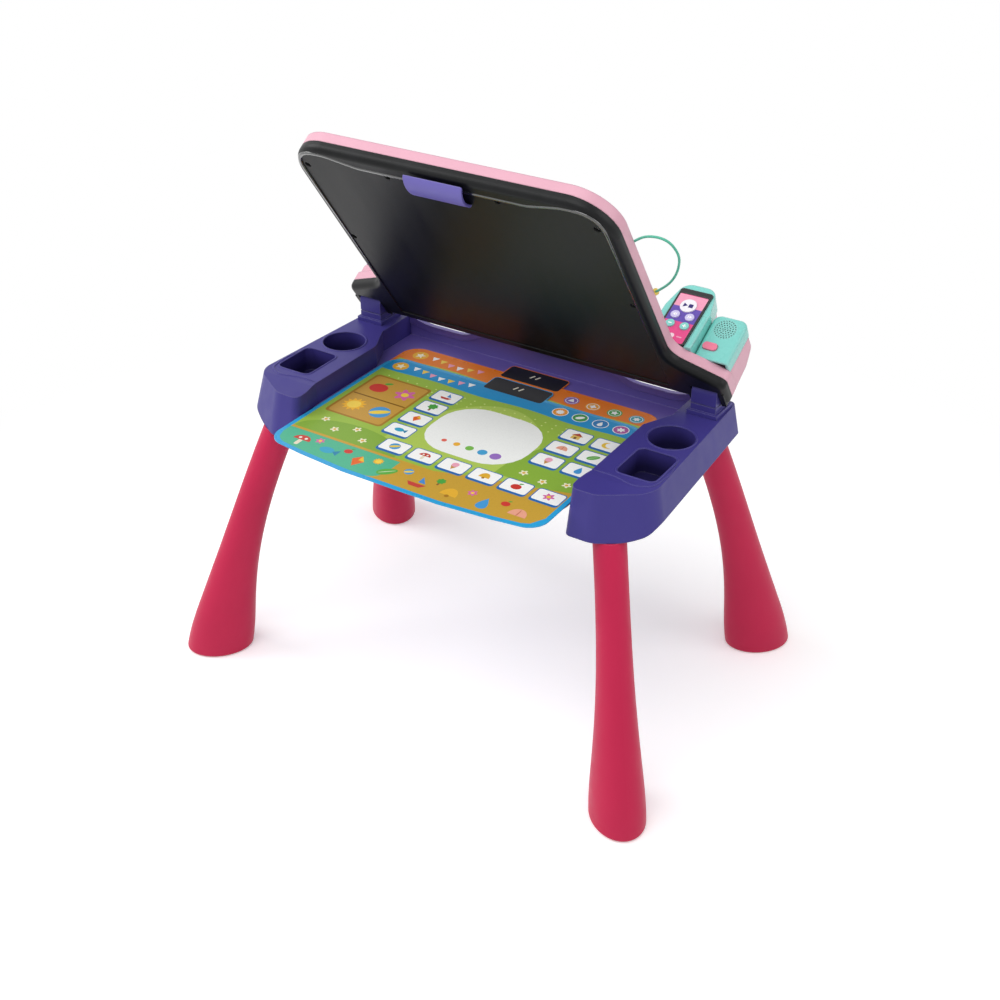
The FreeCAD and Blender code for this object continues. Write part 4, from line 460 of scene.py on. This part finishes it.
vinyl, tree, place = blank("mint_vinyl_extruded")
drift = noise(tree, place, VINYL_MM, 2.0)
skin(tree, {"Base Color": mixed(tree, drift, linear("#45B294"), linear("#63C7AB")),
            "Roughness": ramp(tree, drift, 0.34, 0.5), "IOR": 1.53})
cord.data.materials.append(vinyl)
print(zinc.name, vinyl.name)

# %% Circuit board and touch panel
TRACK_MM = 8
CONTACT_MM = 16
HAZE_MM = 45

resist, tree, place = blank("green_glass_fibre_board")
track = add(tree, "ShaderNodeTexBrick", {"Vector": place, "Scale": 1000 / TRACK_MM, "Mortar Size": 0.06,
                                         "Color1": linear("#1E6B3C"), "Color2": linear("#1A5F36"),
                                         "Mortar": linear("#3D8A52")})
skin(tree, {"Base Color": track.outputs["Color"], "Roughness": 0.35})
finishes["circuit"] = resist

film, tree, place = blank("printed_touch_film")
ruling = add(tree, "ShaderNodeTexBrick", {"Vector": place, "Scale": 1000 / CONTACT_MM, "Mortar Size": 0.012,
                                          "Brick Width": 1.0, "Row Height": 1.0,
                                          "Color1": linear("#E4E2E8"), "Color2": linear("#E3E1E7"),
                                          "Mortar": linear("#D3CFDC")}, offset=0.0)
haze = noise(tree, place, HAZE_MM, 3.0)
skin(tree, {"Base Color": ruling.outputs["Color"], "Roughness": ramp(tree, haze, 0.28, 0.44)})
finishes["film"] = film
print(resist.name, film.name)

# %% [markdown]
# ## Printed card
# A page is card, printed in flat inks and sealed in clear film. All inks share one finish: the
# colour of each printed shape is kept on the mesh, and the film over it is glossy and not quite
# flat. The dots of the print are far below a pixel, so they are drawn 1.5 mm apart.

# %% Ink under film
DOT_MM = 1.5
WAVE_MM = 55

ink, tree, place = blank("offset_ink_under_film")
colour = add(tree, "ShaderNodeVertexColor", layer_name="ink").outputs["Color"]
dots = add(tree, "ShaderNodeTexVoronoi", {"Vector": place, "Scale": 1000 / DOT_MM}).outputs["Distance"]
dotted = vectors(tree, "MULTIPLY", colour, ramp(tree, dots, 1.02, 0.95))[0]
wave = noise(tree, place, WAVE_MM, 1.0)
bump = add(tree, "ShaderNodeBump", {"Strength": 0.15, "Distance": 0.002, "Height": wave})
skin(tree, {"Base Color": dotted, "Roughness": ramp(tree, wave, 0.28, 0.42), "IOR": 1.49,
            "Specular IOR Level": 0.22, "Normal": bump.outputs[0]})
finishes["blue_card"] = moulded_abs("blue_card_under_film", "#2FA3DB", 0.28, 1.5, 0.03, 0.3, 0.05)
finishes["orange_card"] = moulded_abs("orange_card_under_film", "#EE7E1A", 0.28, 1.5, 0.03, 0.3, 0.05)
print(ink.name)

# %% Give every CAD node its finish
FINISH_OF = {
    "raspberry": ["front_left_leg", "front_right_leg", "rear_left_leg", "rear_right_leg"],
    "tray_purple_painted_sheen": ["page_tray"],
    "purple_painted_well_shade": ["left_caddy", "right_caddy"],
    "purple": ["left_caddy_base", "right_caddy_base", "left_hinge_post", "right_hinge_post", "page_reader"],
    "board": ["lid_back_panel"],
    "pink": ["lid_top_shell", "phone_dock_back", "speaker_back", "stylus_cradle", "left_console"],
    "mint": ["phone_dock", "speaker_housing", "volume_down_button", "volume_up_button"],
    "violet": ["paper_clip"],
    "lilac": ["menu_knob", "battery_door"],
    "pale_lilac": ["previous_button", "next_button"],
    "warm_pink": ["power_button"],
    "white": ["play_button"],
    "yellow": ["stylus", "cord_gland"],
    "black_gloss": ["phone_bezel", "phone_screen", "battery_box", "knob_shaft"],
    "dark_frame": ["speaker_driver"],
    "cell_wrap": ["batteries"],
    "rubber": ["keypad_membrane"],
    "circuit": ["main_board"],
    "film": ["touch_panel"],
    "zinc": ["leg_screws", "caddy_base_screws", "post_screws", "tray_screws", "lid_screws",
             "battery_door_screw", "left_hinge_pin", "right_hinge_pin", "clip_pin", "clip_spring"],
    "blue_card": ["activity_page_front"],
    "orange_card": ["activity_page_rear"],
}
dressed = 0
for finish, names in FINISH_OF.items():
    for name in names:
        for hold in nodes[name].material_slots:
            hold.material = finishes[finish]
        dressed += 1
print("nodes dressed:", dressed, "of", len(nodes))

# %% [markdown]
# ## Outlines for print
# A printed shape is a closed outline in millimetres. Each helper gives one as an array: discs,
# stars and petal rings are a radius that changes with the angle, and blocks, leaves, drops and
# domes are put together from arcs and sines. One function then lays a whole list of outlines on
# a plane as single faces, a hair above each other, with the ink's colour on every corner.

# %% Outline helpers


def placed(px, py, x, y, lean):
    """Points turned about their own centre, then moved to a place."""
    c, s = math.cos(lean), math.sin(lean)
    return np.c_[x + c * px - s * py, y + s * px + c * py]


def disc(x, y, rx, ry=None):
    """An ellipse: the centre plus the two radii times cosine and sine."""
    a = turn_of(48)
    return np.c_[x + rx * np.cos(a), y + (rx if ry is None else ry) * np.sin(a)]


def block(x, y, w, h, r, lean=0.0):
    """A round-cornered block: a quarter circle at each corner of the box inset by the radius."""
    q = np.linspace(0, np.pi / 2, 7)
    a = np.concatenate([q, q + np.pi / 2, q + np.pi, q + 1.5 * np.pi])
    sx = np.repeat([1, -1, -1, 1], 7) * (w / 2 - r)
    sy = np.repeat([1, 1, -1, -1], 7) * (h / 2 - r)
    return placed(sx + r * np.cos(a), sy + r * np.sin(a), x, y, lean)


def star(x, y, r, points, waist):
    """A star: the radius swaps between full and waist at every step round."""
    a = turn_of(2 * points) + np.pi / 2
    reach = np.where(np.arange(2 * points) % 2 == 0, r, r * waist)
    return np.c_[x + reach * np.cos(a), y + reach * np.sin(a)]


def petals(x, y, r, count, depth):
    """A ring of petals: the radius swells and shrinks as the cosine of so many turns."""
    a = turn_of(96)
    reach = r * (1 + depth * np.cos(count * a)) / (1 + depth)
    return np.c_[x + reach * np.cos(a), y + reach * np.sin(a)]


def leaf(x, y, length, width, lean):
    """A leaf: along its length the half width is the sine, thinned towards the tip."""
    t = np.linspace(0, np.pi, 20)
    along = -np.cos(t) * length / 2
    half = width / 2 * np.sin(t) * (1 - 0.25 * along / length)
    return placed(np.r_[along, along[-2:0:-1]], np.r_[half, -half[-2:0:-1]], x, y, lean)


def drop(x, y, r):
    """A drop: the width is the sine of the turn, pinched towards the top."""
    a = turn_of(40)
    return np.c_[x + r * np.sin(a) * np.sin(a / 2) ** 1.6, y + r * 1.2 * np.cos(a)]


def dome(x, y, rx, ry):
    """The upper half of an ellipse on a straight base."""
    a = np.linspace(0, np.pi, 24)
    return np.c_[x + rx * np.cos(a), y + ry * np.sin(a)]


def poly(*corners):
    """A straight-sided shape from its corners."""
    return np.array(corners, float)


print("star has", len(star(0, 0, 1, 5, 0.5)), "corners")

# %% Lay outlines as print
PAGE_LIFT = 0.00001
PHONE_LIFT = 0.00003


def layered(pairs, first):
    """(outline, ink) pairs with a layer each: the first layer, then one higher every time."""
    return [(outline, code, first + i) for i, (outline, code) in enumerate(pairs)]


def print_sheet(name, shapes, origin, across, up, body, lift):
    """One mesh of flat faces: point = origin + across * x + up * y + normal * layer * lift."""
    across, up = np.asarray(across, float), np.asarray(up, float)
    normal = np.cross(across, up)
    points, faces, tints, start = [], [], [], 0
    for outline, code, layer in shapes:
        x, y = outline.T
        area = np.sum(x * np.roll(y, -1) - y * np.roll(x, -1))
        outline = outline if area > 0 else outline[::-1]
        flat = outline[:, :1] / 1000 * across + outline[:, 1:] / 1000 * up
        points.append(np.asarray(origin) + flat + normal * (layer * lift))
        faces.append(list(range(start, start + len(outline))))
        tints.append(np.tile(linear(code), (len(outline), 1)))
        start += len(outline)
    made = new_piece(name, np.concatenate(points), faces)
    colours = made.data.color_attributes.new("ink", "FLOAT_COLOR", "CORNER")
    colours.data.foreach_set("color", np.concatenate(tints).ravel())
    made.data.materials.append(ink)
    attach(made, body)
    print(name, len(faces), "printed shapes")


# %% [markdown]
# ## Little pictures for the cards
# The cards show everyday things that any picture book has: a sun, a boat, a tree, a kite. Each
# is one to four outlines, about 18 mm across, drawn about the origin and moved into place.

# %% Picture list
UPRIGHT = 1.57
PICTURES = {
    "sun": [(star(0, 0, 9, 12, 0.68), "#F2B630"), (disc(0, 0, 5), "#F7D352")],
    "boat": [(poly((-9, -2), (9, -2), (5, -7), (-5, -7)), "#C6473F"),
             (poly((0, 0), (0, 9), (7, 0)), "#4E8ED0")],
    "tree": [(block(0, -5, 3, 8, 0.8), "#8A5A35"), (petals(0, 3, 7.5, 7, 0.12), "#4FA548")],
    "kite": [(poly((0, 9), (6, 2), (0, -8), (-6, 2)), "#E66A2E"),
             (poly((0, 9), (6, 2), (0, 2)), "#F3C23C")],
    "fish": [(disc(-1.5, 0, 7, 4.6), "#3FA7C9"), (poly((4, 0), (10, 4.5), (10, -4.5)), "#2E86AE")],
    "apple": [(petals(0, -1, 7, 2, 0.08), "#CF4038"), (leaf(3, 7.5, 6, 3, 0.5), "#5AA646")],
    "house": [(block(0, -3, 12, 9, 0.5), "#E8C36A"),
              (poly((-8.5, 1.5), (8.5, 1.5), (0, 8.5)), "#B8503F"),
              (block(0, -4.8, 3.4, 5.4, 0.4), "#7A5134")],
    "flower": [(petals(0, 0, 8, 6, 0.28), "#D86AA8"), (disc(0, 0, 2.8), "#F4D04A")],
    "cap": [(block(0, -4, 4, 9, 1.5), "#EADFC6"), (dome(0, 0, 8.5, 7.5), "#C9473D"),
            (disc(-3, 3, 1.5), "#F4EDE2"), (disc(3, 3.2, 1.5), "#F4EDE2")],
    "drop": [(drop(0, 0, 7), "#4A9BD8")],
    "moon": [(disc(0, 0, 7.5), "#F0C94A"), (disc(3.4, 1.6, 6.2), "#FFFFFF")],
    "ball": [(disc(0, 0, 7.6), "#4C9BD4"), (leaf(0, 0, 15, 5, 0.6), "#F2D24E")],
    "leaf": [(leaf(0, 0, 18, 9, 0.7), "#5FAE4A"), (leaf(0, 0, 15, 0.9, 0.7), "#D9EBC2")],
    "bell": [(dome(0, -4, 7.5, 11), "#E5B13A"), (disc(0, -5, 2), "#A9782B")],
    "shell": [(dome(0, -4, 8, 10), "#EBA58C"), (leaf(0, 0, 10, 1, UPRIGHT), "#C9785F")],
    "cone": [(poly((-4.5, 0), (4.5, 0), (0, -9)), "#C9914A"), (disc(0, 3, 5), "#F0A9BE")],
}
CARD_WIDE, CARD_HIGH = 33.0, 26.0


def picture(kind, x, y, size):
    """One picture scaled and moved to a centre, as (outline, ink) pairs."""
    return [(outline * size + (x, y), code) for outline, code in PICTURES[kind]]


def card(kind, x, y, edge="#2C6DB4"):
    """A white card with a coloured edge, a label strip and its picture."""
    rim = (block(x, y, CARD_WIDE, CARD_HIGH, 4), edge, 4)
    face = (block(x, y + 1.4, CARD_WIDE - 2.4, CARD_HIGH - 5.2, 3), "#FDFDFB", 5)
    return [rim, face] + layered(picture(kind, x, y + 1.6, 0.82), 6)


print("pictures:", len(PICTURES))

# %% [markdown]
# ## The two activity pages
# Each page has a coloured header with a row of pennants, a field, a white drawing space, and
# cards. The front page's field has hills, flowers and a shore with more pictures. The front edge
# bows out, so the fields follow the same bow, inset by the blue or orange margin.

# %% Page fields
# Sizes in millimetres. A page's reach is how far its front corners lie before the desk's middle.
PAGE_HALF = 167.5
PAGE_DEPTH = 229.0
FRONT_REACH, REAR_REACH = 171, 135
FIELD_HALF, FIELD_MARGIN, FIELD_ROUND = 162.5, 5.0, 17.0
HEADER_HALF, HEADER_MARGIN, HEADER_ROUND = 163.0, 4.5, 18.0
PENNANT_STEP, PENNANT_SAG = 12.5, 3.0
PENNANT_INKS = ("#FFFFFF", "#F7D352", "#F3A3BF")


def bow(x):
    """How far the front edge stands out at x: straight runs between the card's corners."""
    return np.interp(np.abs(x) / PAGE_HALF, [0.0, 0.35, 0.7, 1.0], [12.3, 12.3, 7.1, 0.0])


def field(reach, left, right, high):
    """A field from the bowed front edge up to a level: quarter circles round its front corners."""
    x = np.linspace(left, right, 41)
    ends = np.minimum(np.minimum(x - left, right - x), FIELD_ROUND) / FIELD_ROUND
    tuck = FIELD_ROUND * (1 - np.sqrt(1 - (1 - ends) ** 2))
    y = FIELD_MARGIN - reach - bow(x) + tuck
    return np.r_[np.c_[x, y], [[right, high], [left, high]]]


def header(reach, depth):
    """The band along the rear edge, with round rear corners and a front edge waved as a sine."""
    rear = PAGE_DEPTH - reach - HEADER_MARGIN
    q = np.linspace(0, np.pi / 2, 9)
    inner = HEADER_HALF - HEADER_ROUND
    right_arc = np.c_[inner + HEADER_ROUND * np.cos(q), rear - HEADER_ROUND + HEADER_ROUND * np.sin(q)]
    left_arc = np.c_[-inner - HEADER_ROUND * np.sin(q), rear - HEADER_ROUND + HEADER_ROUND * np.cos(q)]
    wave_x = np.linspace(-HEADER_HALF, HEADER_HALF, 60)
    wave = np.c_[wave_x, rear - depth + 1.6 * np.sin(wave_x / 19)]
    return np.r_[wave, right_arc, left_arc]


def bunting(left, right, y, layer):
    """A row of small pennants on a line that sags as a cosine, in three inks by turns."""
    x = np.arange(left, right + 1, PENNANT_STEP)
    sag = PENNANT_SAG * np.cos((x - left) / (right - left) * 2 * np.pi)
    pennant = poly((-4.6, 4.0), (4.6, 4.0), (0, -5.0))
    return [(pennant + (x[i], y + sag[i]), PENNANT_INKS[i % 3], layer) for i in range(len(x))]


def tab_mark(reach):
    """The black code patch on the tab, with two pale ticks that the reader looks for."""
    rear = PAGE_DEPTH - reach
    ticks = [(block(x, rear + 6.0, 2.2, 8, 0.6, -0.35), "#E9E4D2", 7) for x in (-4, 3)]
    return [(block(0, rear + 4.0, 76, 29, 4), "#17181B", 6)] + ticks


print("bow at the middle and the corner:", float(bow(0.0)), float(bow(PAGE_HALF)))

# %% Front page grounds
shapes = [
    (field(FRONT_REACH, -FIELD_HALF, FIELD_HALF, 30), "#C9A03E", 1),
    (field(FRONT_REACH, -FIELD_HALF, -18, -138), "#55B792", 2),
    (block(0, -52, 325, 164, 2), "#9DBE4A", 2),
    (dome(-95, -134, 66, 34), "#86AC3F", 2.4),
    (dome(118, -104, 44, 88), "#8DB343", 2.4),
    (dome(20, -118, 84, 138), "#B2CC5E", 2.2),
    (poly((20, -134.2), (162.5, -134.2), (162.5, -96), (120, -108), (70, -118)), "#C9A03E", 3),
    (header(FRONT_REACH, 26), "#1F95D2", 4),
    (block(24, -46, 122, 102, 42), "#F6F7F4", 4),
    (block(-118, -40, 76, 100, 5), "#A87A2C", 4),
    (block(-118, -40, 70, 94, 4), "#C99B45", 5),
    (block(-118, -40, 70, 2.4, 1), "#86601F", 6),
]
BADGES = (("sun", "#F29A2E"), ("leaf", "#3E9C4B"), ("drop", "#2D7FC0"), ("flower", "#B65AA4"))
for i, (kind, code) in enumerate(BADGES):
    x = 66 + 25 * i
    symbol = picture(kind, x, 43, 0.6)[0][0]
    shapes += [(disc(x, 43, 9.2), "#FFFFFF", 5), (disc(x, 43, 8.2), code, 6), (symbol, "#FFFFFF", 7)]
shapes += [(disc(-146, 40, 9.5), "#F3B62C", 5), (star(-146, 40, 6.6, 5, 0.45), "#FFF6DC", 6)]
shapes += bunting(-126, -48, 40, 5)
for x, y in ((-140, -106), (-118, -119), (-97, -107), (-78, -123), (100, -88), (125, -93), (149, -86)):
    shapes += [(petals(x, y, 5.2, 5, 0.3), "#F4EFD0", 4), (disc(x, y, 1.8), "#E2A93B", 5)]
speck_x, speck_y = np.meshgrid(np.arange(-150, 156, 13.0), np.arange(-2, 22, 8.0))
speck_x = speck_x + 6.5 * (speck_y % 16 > 0)
for x, y in np.stack([speck_x, speck_y], axis=-1).reshape(-1, 2):
    shapes += [(disc(x, y, 1.1)[::4], "#D7E58E", 3)]
print("grounds:", len(shapes), "shapes")

# %% Front page cards and print
for i, kind in enumerate(("boat", "tree", "kite", "fish")):
    shapes += card(kind, -58, 4 - 29.5 * i)
for i, kind in enumerate(("house", "moon", "shell", "leaf", "cone", "drop")):
    shapes += card(kind, 108 + 37 * (i % 2), 4 - 30 * (i // 2))
for i, kind in enumerate(("ball", "cap", "cone", "bell", "apple", "flower")):
    shapes += card(kind, -42 + 37.4 * i, -116)
for i, kind in enumerate(("apple", "flower", "sun", "ball")):
    shapes += layered(picture(kind, -135 + 35 * (i % 2), -16 - 47 * (i // 2), 1.6), 6)
for i, kind in enumerate(("cap", "fish", "kite", "leaf", "boat", "bell", "drop", "shell")):
    x = -134 + 38.5 * i
    shapes += layered(picture(kind, x, -153 - bow(x) * 0.6, 1.25), 4)
for i, kind in enumerate(("flower", "apple", "sun", "ball", "tree", "flower", "apple")):
    x = -115 + 38.5 * i
    shapes += layered(picture(kind, x, -145 - bow(x) * 0.3, 0.7), 4)
for i, code in enumerate(("#E66A5A", "#F0B43C", "#7DBE52", "#4AA5D6", "#9B74C4")):
    shapes += [(disc(-6 + 16 * i, -76, 3 + 0.8 * i), code, 5)]
shapes += tab_mark(FRONT_REACH)
page_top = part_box("activity_page_front")[1][2]
print_sheet("activity_page_front_print", shapes, (0, 0, page_top), (1, 0, 0), (0, 1, 0),
            "activity_page_front", PAGE_LIFT)

# %% Rear page print
shapes = [
    (field(REAR_REACH, -FIELD_HALF, FIELD_HALF, 66), "#A9CC55", 1),
    (header(REAR_REACH, 28), "#EE7E1A", 2),
    (block(0, -20, 200, 120, 30), "#F6F4EC", 2),
]
for i, code in enumerate(("#8A63B8", "#F1A63A", "#4CA64F", "#2EA3B4")):
    x = 62 + 27 * i
    shapes += [(disc(x, 75, 8.6), code, 3), (disc(x, 75, 7.2), "#FFFFFF", 4),
               (disc(x, 75, 6.4), code, 5), (star(x, 75, 4.6, 3 + i, 0.55), "#FFFFFF", 6)]
shapes += [(disc(-144, 77, 9.5), "#F3B62C", 3), (star(-144, 77, 6.6, 5, 0.45), "#FFF6DC", 4)]
shapes += bunting(-124, -58, 75, 3)
for i, kind in enumerate(("fish", "bell", "tree", "cone", "moon")):
    shapes += card(kind, -132, 34 - 31 * i, "#D9692A")
for i, kind in enumerate(("drop", "kite", "cap", "house", "boat")):
    shapes += card(kind, 132, 34 - 31 * i, "#D9692A")
shapes += tab_mark(REAR_REACH)
page_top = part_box("activity_page_rear")[1][2]
print_sheet("activity_page_rear_print", shapes, (0, 0, page_top), (1, 0, 0), (0, 1, 0),
            "activity_page_rear", PAGE_LIFT)

# %% [markdown]
# ## Screen and key symbols
# The play phone has a printed screen in three bands. The keys carry plain symbols: play and
# stop, back and on, less and more. The plane of each is read from the CAD piece itself: the
# faces that look the phone's way and stand out furthest give the normal and the middle.

# %% Planes of the phone's faces
PHONE_LEAN = LID_OPEN + math.radians(11)
PHONE_FACE = (0, -math.cos(PHONE_LEAN), math.sin(PHONE_LEAN))
NEARLY_ALONG = 0.97
TOP_SKIN = 0.0004


def facing_plane(name, toward):
    """Middle, across and up of a node's outermost faces that look nearly along a direction."""
    mesh = nodes[name].data
    count = len(mesh.polygons)
    normals, areas, middles = np.empty(count * 3), np.empty(count), np.empty(count * 3)
    mesh.polygons.foreach_get("normal", normals)
    mesh.polygons.foreach_get("area", areas)
    mesh.polygons.foreach_get("center", middles)
    normals, middles = normals.reshape(-1, 3), middles.reshape(-1, 3)
    toward = np.asarray(toward, float) / np.linalg.norm(toward)
    flat = normals @ toward > NEARLY_ALONG
    height = middles @ toward
    top = flat & (height > height[flat].max() - TOP_SKIN)
    normal = (normals[top] * areas[top, None]).sum(0)
    normal /= np.linalg.norm(normal)
    middle = (middles[top] * areas[top, None]).sum(0) / areas[top].sum()
    across = np.array([1.0, 0, 0])
    return middle, across, np.cross(normal, across)


middle, across, up = facing_plane("phone_screen", PHONE_FACE)
print("screen middle", np.round(middle, 4), "up", np.round(up, 3))

# %% Screen print
shapes = [
    (block(0, 0, 32.4, 66.4, 2), "#E8548F", 1),
    (poly((-16.2, 15.5), (16.2, 15.5), (16.2, 32.6), (-16.2, 32.6)), "#F3A3BF", 2),
    (poly((-16.2, -5.0), (16.2, -5.0), (16.2, 15.5), (-16.2, 15.5)), "#6A55B0", 2),
    (disc(0, -25, 3.4), "#F7D9E4", 3),
    (block(-9, -25, 6, 1.6, 0.8), "#F2A9C4", 3),
    (block(9, -25, 6, 1.6, 0.8), "#F2A9C4", 3),
]
print_sheet("phone_screen_print", shapes, middle, across, up, "lid", PHONE_LIFT)

# %% Key symbols
MINUS = (block(0, 0, 4.4, 1.2, 0.3), "#FFFFFF")
KEY_MARKS = {
    "play_button": [(poly((-5.4, 3), (-5.4, -3), (-0.6, 0)), "#3A2F74"),
                    (block(3, 0, 5, 5, 0.4), "#3A2F74")],
    "previous_button": [(poly((0.2, 2), (0.2, -2), (-2.8, 0)), "#FFFFFF"),
                        (block(1.4, 0, 1, 4, 0.2), "#FFFFFF")],
    "next_button": [(poly((-0.2, 2), (2.8, 0), (-0.2, -2)), "#FFFFFF"),
                    (block(-1.4, 0, 1, 4, 0.2), "#FFFFFF")],
    "volume_down_button": [MINUS],
    "volume_up_button": [MINUS, (block(0, 0, 1.2, 4.4, 0.3), "#FFFFFF")],
}
for key, marks in KEY_MARKS.items():
    middle, across, up = facing_plane(key, PHONE_FACE)
    print_sheet(key + "_mark", layered(marks, 1), middle, across, up, key, PHONE_LIFT)

# %% [markdown]
# ## Raised beads
# A moulding is stiffened by rolled lips, and they are what catches the light: round the cups
# and the bins, over the noses, and along the step of the chalkboard, whose brow dips in the
# middle to leave room for the clip. Each is an ellipse swept along a flat line. The line comes
# from a few corners, each rounded by a blend between the points where its round begins.

# %% Bead helpers
ROUND_STEPS = 9
BEAD_SIDES = 12
BEAD_TAPER_MM, BEAD_TIP = 8, 0.15


def rounded_line(corners, closed):
    """Corners (x, y, round) as a line: start, corner and end of each round, blended by squares."""
    data = np.array(corners, float)
    spot, round_mm = data[:, :2], data[:, 2:]
    come = spot - np.roll(spot, 1, 0)
    leave = np.roll(spot, -1, 0) - spot
    come /= np.linalg.norm(come, axis=1, keepdims=True)
    leave /= np.linalg.norm(leave, axis=1, keepdims=True)
    cosine = np.clip((come * leave).sum(1, keepdims=True), -0.999, 1)
    reach = round_mm * np.sqrt((1 - cosine) / (1 + cosine))
    s = np.linspace(0, 1, ROUND_STEPS)[None, :, None]
    start, end = (spot - come * reach)[:, None], (spot + leave * reach)[:, None]
    line = ((1 - s) ** 2 * start + 2 * s * (1 - s) * spot[:, None] + s ** 2 * end).reshape(-1, 2)
    step = np.linalg.norm(line - np.roll(line, 1, 0), axis=1)
    step[0] = step[0] if closed else 1
    return line[step > 1e-6]


def bead(name, line, half_wide, half_high, level, closed, to_world, finish, body):
    """A swept ellipse: line + side * width * cosine, and level + height * sine, thin at open ends."""
    ahead = np.roll(line, -1, 0) - np.roll(line, 1, 0)
    swell = np.ones(len(line))
    if not closed:
        ahead[0], ahead[-1] = line[1] - line[0], line[-1] - line[-2]
        along = np.r_[0, np.cumsum(np.linalg.norm(np.diff(line, axis=0), axis=1))]
        swell = np.clip(np.minimum(along, along[-1] - along) / BEAD_TAPER_MM, BEAD_TIP, 1)
    ahead /= np.linalg.norm(ahead, axis=1, keepdims=True)
    a = turn_of(BEAD_SIDES)
    wide, high = half_wide * swell[:, None] * np.cos(a), half_high * swell[:, None] * np.sin(a)
    x = line[:, :1] + ahead[:, 1:] * wide
    y = line[:, 1:] - ahead[:, :1] * wide
    points = to_world(np.stack([x, y, level + high], axis=-1).reshape(-1, 3))
    faces = ring_faces(len(line), BEAD_SIDES, closed)
    made = new_piece(name, points, faces)
    made.data.shade_smooth()
    made.data.materials.append(finishes[finish])
    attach(made, body)
    print(name, len(faces), "faces")


def on_desk(points):
    """World metres of millimetres that are already in the desk's own frame."""
    return points / 1000


# %% The chalkboard's brow
# Corners on the lid in millimetres: x, y and the round.
BROW_WIDE, BROW_HIGH, BROW_LEVEL = 2.2, 1.3, -10.4
half = [(174.5, -10, 0), (174.5, -301.5, 30), (134, -301.5, 50), (97, -293, 50)]
brow = half + [(-x, y, r) for x, y, r in reversed(half)]
bead("chalkboard_brow_bead", rounded_line(brow, False), BROW_WIDE, BROW_HIGH, BROW_LEVEL, False, on_lid,
     "black_lacquer", "lid")

# %% Lips of the wells and noses
TABLE_TOP = 336
LIP_WIDE, RIDGE_WIDE, LIP_HIGH = 1.2, 1.6, 0.8
BIN_ROUND = 9.5
NOSE_RIDGE = [(174.5, -78.5, 0), (196, -77, 40), (222, -84, 20), (239, -76, 14), (242, -48, 40),
              (238, -20, 0)]
for side, sign in (("right", 1), ("left", -1)):
    ring = disc(sign * CUP_CENTRE[0], CUP_CENTRE[1], CUP_LIP)
    bead(side + "_cup_lip", ring, LIP_WIDE, LIP_HIGH, TABLE_TOP, True, on_desk, "purple", "base")
    bin_x, bin_y = sign * BIN_CENTRE[0], BIN_CENTRE[1]
    w, h = BIN_LIP
    square = [(bin_x + x, bin_y + y, BIN_ROUND) for x, y in ((w, -h), (w, h), (-w, h), (-w, -h))]
    bead(side + "_bin_lip", rounded_line(square, True), LIP_WIDE, LIP_HIGH, TABLE_TOP, True, on_desk,
         "purple", "base")
    ridge = [(sign * x, y, r) for x, y, r in NOSE_RIDGE]
    bead(side + "_nose_ridge", rounded_line(ridge, False), RIDGE_WIDE, LIP_HIGH, TABLE_TOP, False, on_desk,
         "purple", "base")
